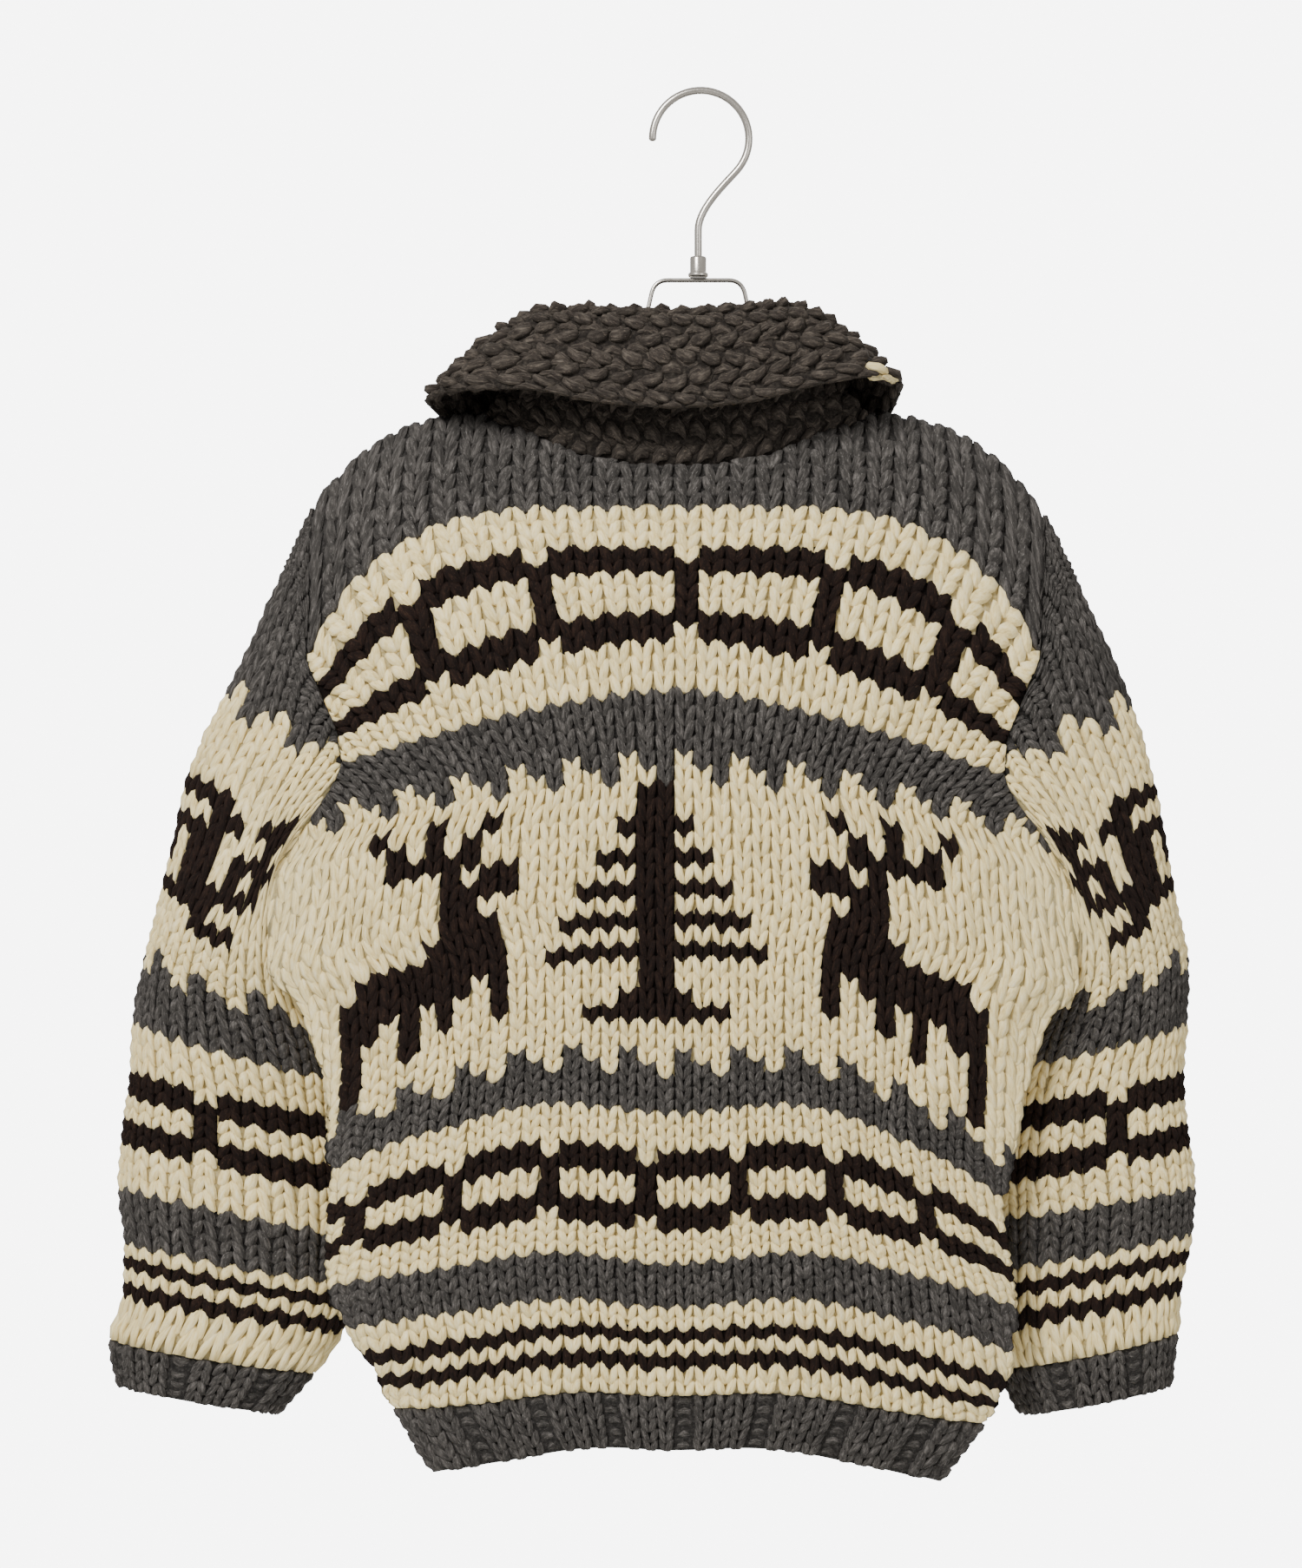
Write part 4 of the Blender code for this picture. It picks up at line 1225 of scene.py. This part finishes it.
@dataclass
class Body:
    """Back, fronts, their ribbed welts and the garter front bands."""

    chart: BodyChart = field(default_factory=BodyChart)
    columns: tuple[int, int] = (-23, 22)   # widest columns from the middle, kept only inside the panel
    band_stitches: int = 2
    band_ridges: int = 46

    def pieces(self) -> list[KnittedPiece]:
        """Every piece of the body.

        Returns:
            The pieces.
        """
        hem, top = FORM.hem_rows, 99   # a panel ends at its neckline, below this top
        whole = (-1.0, 1.0)
        made = [
            self._panel("back", "knit", Side.BACK, whole, (hem, top), (0.48, 0.66), 0.270, (84, 142)),
            self._panel("back_hem", "grey_knit", Side.BACK, whole, (0, hem), (0.40, 0.05), None, (64, 10)),
        ]
        for name, sign in (("left", -1), ("right", 1)):
            ends = tuple(sorted((sign * 1.0, sign * FORM.band_reach)))
            made.append(self._panel(f"front_{name}", "knit", Side.FRONT, ends, (hem, top),
                                    (0.23, 0.66), 0.118, (36, 142)))
            made.append(self._panel(f"front_{name}_hem", "grey_knit", Side.FRONT, ends, (0, hem),
                                    (0.18, 0.05), None, (26, 10)))
            made.append(self._band(f"front_band_{name}", sign))
        return made

    def _panel(self, node: str, slot: str, side: Side, ends: tuple[float, float],
               rows: tuple[float, float], cut: tuple[float, float], area: float | None,
               grid: tuple[int, int]) -> KnittedPiece:
        """One panel between two places across and two rows.

        Args:
            node: the CAD node it shows.
            slot: its material slot; not used.
            side: back or front.
            ends: its places across.
            rows: its first and last row.
            cut: its flat size, metres; not used.
            area: its flat area, or None for a plain rectangle; not used.
            grid: columns and rows of its cloth.

        Returns:
            The piece.
        """
        chart = self.chart
        edge = 0.0012

        def place(x: Array, y: Array) -> tuple[Array, Array]:
            """Point and outward direction at a place in columns and rows."""
            across = np.clip(x / (chart.count(y) / 2), ends[0] + edge, ends[1] - edge)
            row = np.clip(y, rows[0] + 0.03, np.minimum(FORM.neck_row(side, across), rows[1]) - 0.03)
            if rows[0] == 0:
                row = np.clip(y, 0.0, rows[1] - 0.03)
            return FORM.body_point(side, across, row), FORM.body_out(side, across, row)

        def limits(u: Array, v: Array) -> tuple[Array, Array]:
            """Columns and rows for shares of the panel's width and height."""
            across = ends[0] * (1 - u) + ends[1] * u
            top = np.minimum(FORM.neck_row(side, across), rows[1])
            y = rows[0] * (1 - v) + top * v
            return across * chart.count(y) / 2, y

        column, row = cell_grid((self.columns[0], int(rows[0])),
                                (self.columns[1], int(min(rows[1], FORM.shoulder_row)) - 1))
        across = (column + 0.5) / (chart.count(row + 0.5) / 2)
        slack = 0.30 / (chart.count(row + 0.5) / 2)
        keep = (across > ends[0] - slack) & (across < ends[1] + slack)
        keep &= row + 0.15 < FORM.neck_row(side, np.clip(across, -1, 1))
        column, row = column[keep], row[keep]

        return KnittedPiece(node, slot, cut, area if area else cut[0] * cut[1] * 0.98, place, (column, row),
                            lambda c, r: chart.wool(c, r, side is Side.FRONT), rib_stitches(rows[0] == 0),
                            limits, grid)

    def _band(self, node: str, sign: int) -> KnittedPiece:
        """One garter band down a front's edge.

        Args:
            node: the CAD node it shows.
            sign: -1 for the left front, 1 for the right.

        Returns:
            The piece.
        """
        stitches, ridges = self.band_stitches, self.band_ridges
        top = float(FORM.neck_row(Side.FRONT, np.array(0.05)))

        def to_form(x: Array, y: Array) -> tuple[Array, Array]:
            """Place across and row on the front."""
            across = sign * FORM.band_reach * np.clip(x / stitches, -0.04, 1.06)
            return across, np.clip(y / ridges * top, 0, FORM.neck_row(Side.FRONT, across) - 0.05)

        def place(x: Array, y: Array) -> tuple[Array, Array]:
            """Point and outward direction at a place in stitches and ridges."""
            across, row = to_form(x, y)
            return FORM.body_point(Side.FRONT, across, row), FORM.body_out(Side.FRONT, across, row)

        cells = cell_grid((0, 0), (stitches - 1, ridges - 1))
        return KnittedPiece(
            node, "brown_knit", (0.03, 0.55), 0.0160, place, cells,
            lambda c, r: np.full(c.shape, Wool.COLLAR.value),
            garter,
            lambda u, v: ((0.01 + 0.975 * u) * stitches, v * ridges), (4, 60))


@dataclass
class Sleeves:
    """Both sleeves and their ribbed cuffs, each a tube closed round."""

    chart: SleeveChart = field(default_factory=SleeveChart)

    def pieces(self) -> list[KnittedPiece]:
        """Every piece of both sleeves.

        Returns:
            The pieces.
        """
        made = []
        cuff, end = int(FORM.cuff_top_row), int(FORM.sleeve_rows)
        for name, left in (("left", True), ("right", False)):
            made.append(self._tube(f"sleeve_{name}", "knit", left, (0, cuff),
                                   (0.30, 0.54), 0.147, (78, 110)))
            made.append(self._tube(f"cuff_{name}", "grey_knit", left, (cuff, end),
                                   (0.25, 0.045), 0.0105, (52, 8)))
        return made

    def _tube(self, node: str, slot: str, left: bool, rows: tuple[int, int], cut: tuple[float, float],
              area: float, grid: tuple[int, int]) -> KnittedPiece:
        """A length of a sleeve between two rows.

        Args:
            node: the CAD node it shows.
            slot: its material slot; not used.
            left: True for the left sleeve.
            rows: its first and last row.
            cut: its flat size, metres; not used.
            area: its flat area; not used.
            grid: columns and rows of its cloth.

        Returns:
            The piece.
        """
        columns = self.chart.columns
        cuff, end = FORM.cuff_top_row, FORM.sleeve_rows
        way = -1.0 if left else 1.0

        def to_turn(x: Array) -> Array:
            """Place round the sleeve of a column."""
            return (way * x / columns * 2) % 2.0

        def place(x: Array, y: Array) -> tuple[Array, Array]:
            """Point and outward direction at a place in columns and rows."""
            turn = to_turn(x)
            start = FORM.cap_start(turn) + 0.06 if rows[0] == 0 else rows[0] + 0.02
            row = np.clip(y, start, rows[1] - 0.02 if rows[1] < end else end)
            return FORM.sleeve_point(left, turn, row), FORM.sleeve_out(left, turn, row)

        def limits(u: Array, v: Array) -> tuple[Array, Array]:
            """Columns and rows for shares of the way round and down."""
            x = u * columns
            start = FORM.cap_start(to_turn(x)) if rows[0] == 0 else np.full_like(u, rows[0])
            return x, start * (1 - v) + rows[1] * v

        column, row = cell_grid((0, rows[0]), (columns - 1, rows[1] - 1))
        keep = row + 0.55 > FORM.cap_start(to_turn(column + 0.5)) if rows[0] == 0 else row >= 0
        column, row = column[keep], row[keep]

        return KnittedPiece(node, slot, cut, area, place, (column, row),
                            lambda c, r: self.chart.wool(c if left else columns - 1 - c, r),
                            rib_stitches(rows[0] == cuff), limits, grid, closed=True)


@dataclass
class Collar:
    """The wide folded collar in garter stitch, ridged on both faces."""

    stitches: int = 38
    ridges: int = 13
    slub: tuple[int, int] = (26, 12)   # one stitch where a cream end was spun in

    def pieces(self) -> list[KnittedPiece]:
        """The one piece.

        Returns:
            The collar, in a list like the other parts.
        """
        def place(x: Array, y: Array) -> tuple[Array, Array]:
            """Point and outward direction at a place in stitches and ridges."""
            along = np.clip(2 * x / self.stitches - 1, -0.999, 0.999)
            width = np.clip(y / self.ridges, 0.001, 0.999)
            return FORM.collar_point(along, width), FORM.collar_out(along, width)

        cells = cell_grid((0, 0), (self.stitches - 1, self.ridges - 1))
        return [KnittedPiece(
            "collar", "brown_knit", (0.72, 0.15), 0.092, place, cells,
            lambda c, r: np.where((c == self.slub[0]) & (r == self.slub[1]),
                                  Wool.CREAM.value, Wool.COLLAR.value),
            garter,
            lambda u, v: (u * self.stitches, v * self.ridges), (92, 40), both_faces=True)]


# ------------------------------------------------------------------ hanger
@dataclass
class WireHanger:
    """A plated wire hanger: a swivel hook, a turned ferrule and a closed frame. Sizes in mm."""

    hook_radius: float = 32.0
    hook_wire: float = 5.0
    hook_x: float = -2.3
    shank_x: float = -4.0
    ferrule_top: float = -107.7
    ferrule_radius: float = 5.4
    ferrule_length: float = 14.0
    frame_wire: float = 3.0

    def build(self, metal: bpy.types.Material) -> None:
        """Make the three parts in place of the plain ones.

        Args:
            metal: their finish.
        """
        parts = (
            ("hanger_hook", self._wire("hook", self._hook_route(), self.hook_wire, False)),
            ("hanger_ferrule", self._ferrule()),
            ("hanger_frame", self._wire("frame", self._frame_route(), self.frame_wire, True)),
        )
        for node, mesh in parts:
            piece = add_piece(f"{node}_metal", mesh, [metal])
            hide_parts(node)
            LOG.info("%s: %d faces", node, len(mesh.polygons))

    def _hook_route(self) -> list[tuple[float, float]]:
        """Three quarters of a circle, then an S down to the ferrule.

        Returns:
            x and z of the route, mm.
        """
        centre = self.hook_x, -self.hook_radius + self.hook_wire / 2
        end = -42.0
        points = []
        for step in range(37):
            angle = math.radians(180 + (end - 180) * step / 36)
            points.append((centre[0] + self.hook_radius * math.cos(angle),
                           centre[1] + self.hook_radius * math.sin(angle)))
        angle = math.radians(end)
        leave = np.array([math.sin(angle), -math.cos(angle)]) * 40
        foot = np.array([self.shank_x, centre[1] - self.hook_radius * 1.9])
        start = np.array(points[-1])
        for step in range(1, 15):
            t = np.array(step / 14)
            points.append(tuple(hermite(start, foot, leave, np.array([0.0, -42.0]), t)))
        points.append((self.shank_x, self.ferrule_top + 0.3))
        return points

    def _frame_route(self) -> list[tuple[float, float]]:
        """The closed wire: neck loop, two arms and the bar between their ends.

        Returns:
            x and z of the route, mm.
        """
        top = self.ferrule_top - self.ferrule_length - self.frame_wire / 2 - 0.3
        half = [(29, top, 9), (46, -200, 14), (204, -272, 12), (196, -300, 8)]
        corners = [(self.shank_x + x, z, bend) for x, z, bend in half]
        corners += [(self.shank_x - x, z, bend) for x, z, bend in reversed(half)]
        points = []
        for index, (x, z, bend) in enumerate(corners):
            here = np.array([x, z], float)
            before = unit(np.array(corners[index - 1][:2]) - here)
            after = unit(np.array(corners[(index + 1) % len(corners)][:2]) - here)
            for step in range(9):
                t = step / 8
                spot = (here + before * bend) * (1 - t) ** 2 + here * 2 * t * (1 - t)
                points.append(tuple(spot + (here + after * bend) * t ** 2))
        return points

    def _wire(self, name: str, points: list[tuple[float, float]], diameter: float,
              cyclic: bool) -> bpy.types.Mesh:
        """A round wire through points in the plane y = 0, with a rounded free end.

        Args:
            name: the mesh's name.
            points: x and z of the route, mm.
            diameter: of the wire, mm.
            cyclic: True for a closed wire.

        Returns:
            The mesh.
        """
        curve = bpy.data.curves.new(name, "CURVE")
        curve.dimensions = "3D"
        curve.bevel_depth = diameter / 2 * MM
        curve.bevel_resolution = 6
        curve.use_fill_caps = not cyclic
        spline = curve.splines.new("POLY")
        if not cyclic:
            # the cut end of the hook is rounded over
            (x0, z0), (x1, z1) = points[0], points[1]
            away = unit(np.array([x0 - x1, z0 - z1]))
            lead = [(x0 + away[0] * d, z0 + away[1] * d) for d in (1.6, 1.1, 0.4)]
            points = lead + points
        spline.points.add(len(points) - 1)
        for index, (point, (x, z)) in enumerate(zip(spline.points, points)):
            point.co = (x * MM, 0.0, z * MM, 1.0)
            point.radius = (0.45, 0.80, 0.97)[index] if not cyclic and index < 3 else 1.0
        spline.use_cyclic_u = cyclic
        holder = bpy.data.objects.new(name, curve)
        bpy.context.scene.collection.objects.link(holder)
        made = bpy.data.meshes.new_from_object(holder.evaluated_get(bpy.context.evaluated_depsgraph_get()))
        bpy.data.objects.remove(holder, do_unlink=True)
        for face in made.polygons:
            face.use_smooth = True
        return made

    def _ferrule(self) -> bpy.types.Mesh:
        """A turned sleeve with a lip at its foot and a rolled top.

        Returns:
            The mesh.
        """
        radius, top, foot = self.ferrule_radius, self.ferrule_top, self.ferrule_top - self.ferrule_length
        profile = (
            (radius * 0.80, top), (radius * 0.93, top - 0.3), (radius, top - 1.2),
            (radius, foot + 3.6), (radius * 1.06, foot + 3.2), (radius * 1.20, foot + 2.7),
            (radius * 1.22, foot + 2.2), (radius * 1.22, foot + 1.0), (radius * 1.16, foot + 0.4),
            (radius * 1.05, foot),
        )
        bm = bmesh.new()
        verts = [bm.verts.new((r * MM, 0, z * MM)) for r, z in profile]
        edges = [bm.edges.new(pair) for pair in zip(verts, verts[1:])]
        bmesh.ops.spin(bm, geom=verts + edges, cent=(0, 0, 0), axis=(0, 0, 1), angle=2 * math.pi,
                       steps=40, use_merge=True)
        bmesh.ops.holes_fill(bm, edges=[e for e in bm.edges if e.is_boundary])
        bmesh.ops.recalc_face_normals(bm, faces=bm.faces)
        bmesh.ops.translate(bm, verts=bm.verts, vec=(self.shank_x * MM, 0, 0))
        for face in bm.faces:
            face.smooth = len(face.verts) == 4
        made = bpy.data.meshes.new("ferrule")
        bm.to_mesh(made)
        bm.free()
        return made


# ------------------------------------------------------------------ studio
@dataclass
class Studio:
    """A pale room with soft light, and the camera square on the back of the garment."""

    eye: tuple[float, float, float] = (-0.0353, -2.89, -0.4577)
    lens: float = 100.0
    floor_z: float = -1.36

    def build(self) -> None:
        """Make the floor, the lights, the world and the camera."""
        self._floor()
        self._light("key", (-1.2, -2.4, 1.3), (-0.03, 0.0, -0.45), 1.1, 118.0)
        self._light("fill", (1.9, -2.2, 0.2), (-0.03, 0.0, -0.5), 1.8, 16.0)
        self._light("rim", (0.6, 2.2, 1.0), (-0.03, 0.0, -0.4), 1.6, 20.0)
        world = bpy.data.worlds.new("pale_room")
        world.use_nodes = True
        tree = world.node_tree
        room = tree.nodes["Background"]
        room.inputs["Color"].default_value = linear("#fdfcfa")
        room.inputs["Strength"].default_value = 0.70
        wall = add_node(tree, "ShaderNodeBackground", inputs={"Color": linear("#ffffff"), "Strength": 7.0})
        seen = add_node(tree, "ShaderNodeLightPath")
        both = add_node(tree, "ShaderNodeMixShader", inputs={
            0: seen.outputs["Is Camera Ray"], 1: room.outputs[0], 2: wall.outputs[0]})
        tree.links.new(both.outputs[0], tree.nodes["World Output"].inputs["Surface"])
        bpy.context.scene.world = world
        camera = bpy.data.cameras.new("camera")
        camera.lens = self.lens
        camera.sensor_fit = "VERTICAL"
        camera.sensor_height = 36.0
        made = bpy.data.objects.new("camera", camera)
        made.location = self.eye
        made.rotation_euler = (math.radians(90), 0, 0)
        bpy.context.scene.collection.objects.link(made)
        bpy.context.scene.camera = made

    def _floor(self) -> None:
        """A small pale floor under the hanging garment."""
        bm = bmesh.new()
        bmesh.ops.create_circle(bm, cap_ends=True, segments=64, radius=1.3)
        bmesh.ops.translate(bm, verts=bm.verts, vec=(0, 0, self.floor_z))
        mesh = bpy.data.meshes.new("floor")
        bm.to_mesh(mesh)
        bm.free()
        made, _, shader = new_material("matt_pale_floor")
        shader.inputs["Base Color"].default_value = linear("#ebebe9")
        shader.inputs["Roughness"].default_value = 0.9
        mesh.materials.append(made)
        floor = bpy.data.objects.new("floor", mesh)
        bpy.context.scene.collection.objects.link(floor)

    def _light(self, name: str, spot: tuple[float, float, float], aim: tuple[float, float, float],
               size: float, power: float) -> None:
        """A large soft light aimed at a point.

        Args:
            name: the light's name.
            spot: where it stands.
            aim: the point it faces.
            size: its width, metres.
            power: watts.
        """
        lamp = bpy.data.lights.new(name, "AREA")
        lamp.shape = "DISK"
        lamp.size = size
        lamp.energy = power
        made = bpy.data.objects.new(name, lamp)
        made.location = spot
        from_spot = np.array(aim) - np.array(spot)
        yaw = math.atan2(from_spot[1], from_spot[0]) - math.pi / 2
        pitch = math.atan2(math.hypot(from_spot[0], from_spot[1]), -from_spot[2])
        made.rotation_euler = (pitch, 0, yaw)
        bpy.context.scene.collection.objects.link(made)


def main() -> None:
    """Build every piece in order."""
    logging.basicConfig(level=logging.INFO, format="%(name)s: %(message)s")
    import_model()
    wools = (
        HandspunWool("cream_fleece", "#cdb272", "#f4dfa2", "#fff3cb", 0.12),
        HandspunWool("heather_grey", "#201e1c", "#3d3a37", "#6b6662", 0.26, "#96918c"),
        HandspunWool("dark_brown_fleece", "#0c0604", "#180e0a", "#2e1f17", 0.25, "#4f3b2d"),
        HandspunWool("brown_grey_fleece", "#1a1613", "#38322d", "#625a51", 0.24, "#857768"),
    )
    shop = Workroom(YarnLeg(), np.random.default_rng(7), [w.build() for w in wools],
                    [w.build(cloth=True) for w in wools])
    for part in (Body(), Sleeves(), Collar()):
        for piece in part.pieces():
            piece.build(shop)
    WireHanger().build(SatinNickel().build())
    Studio().build()


if __name__ == "__main__":
    main()
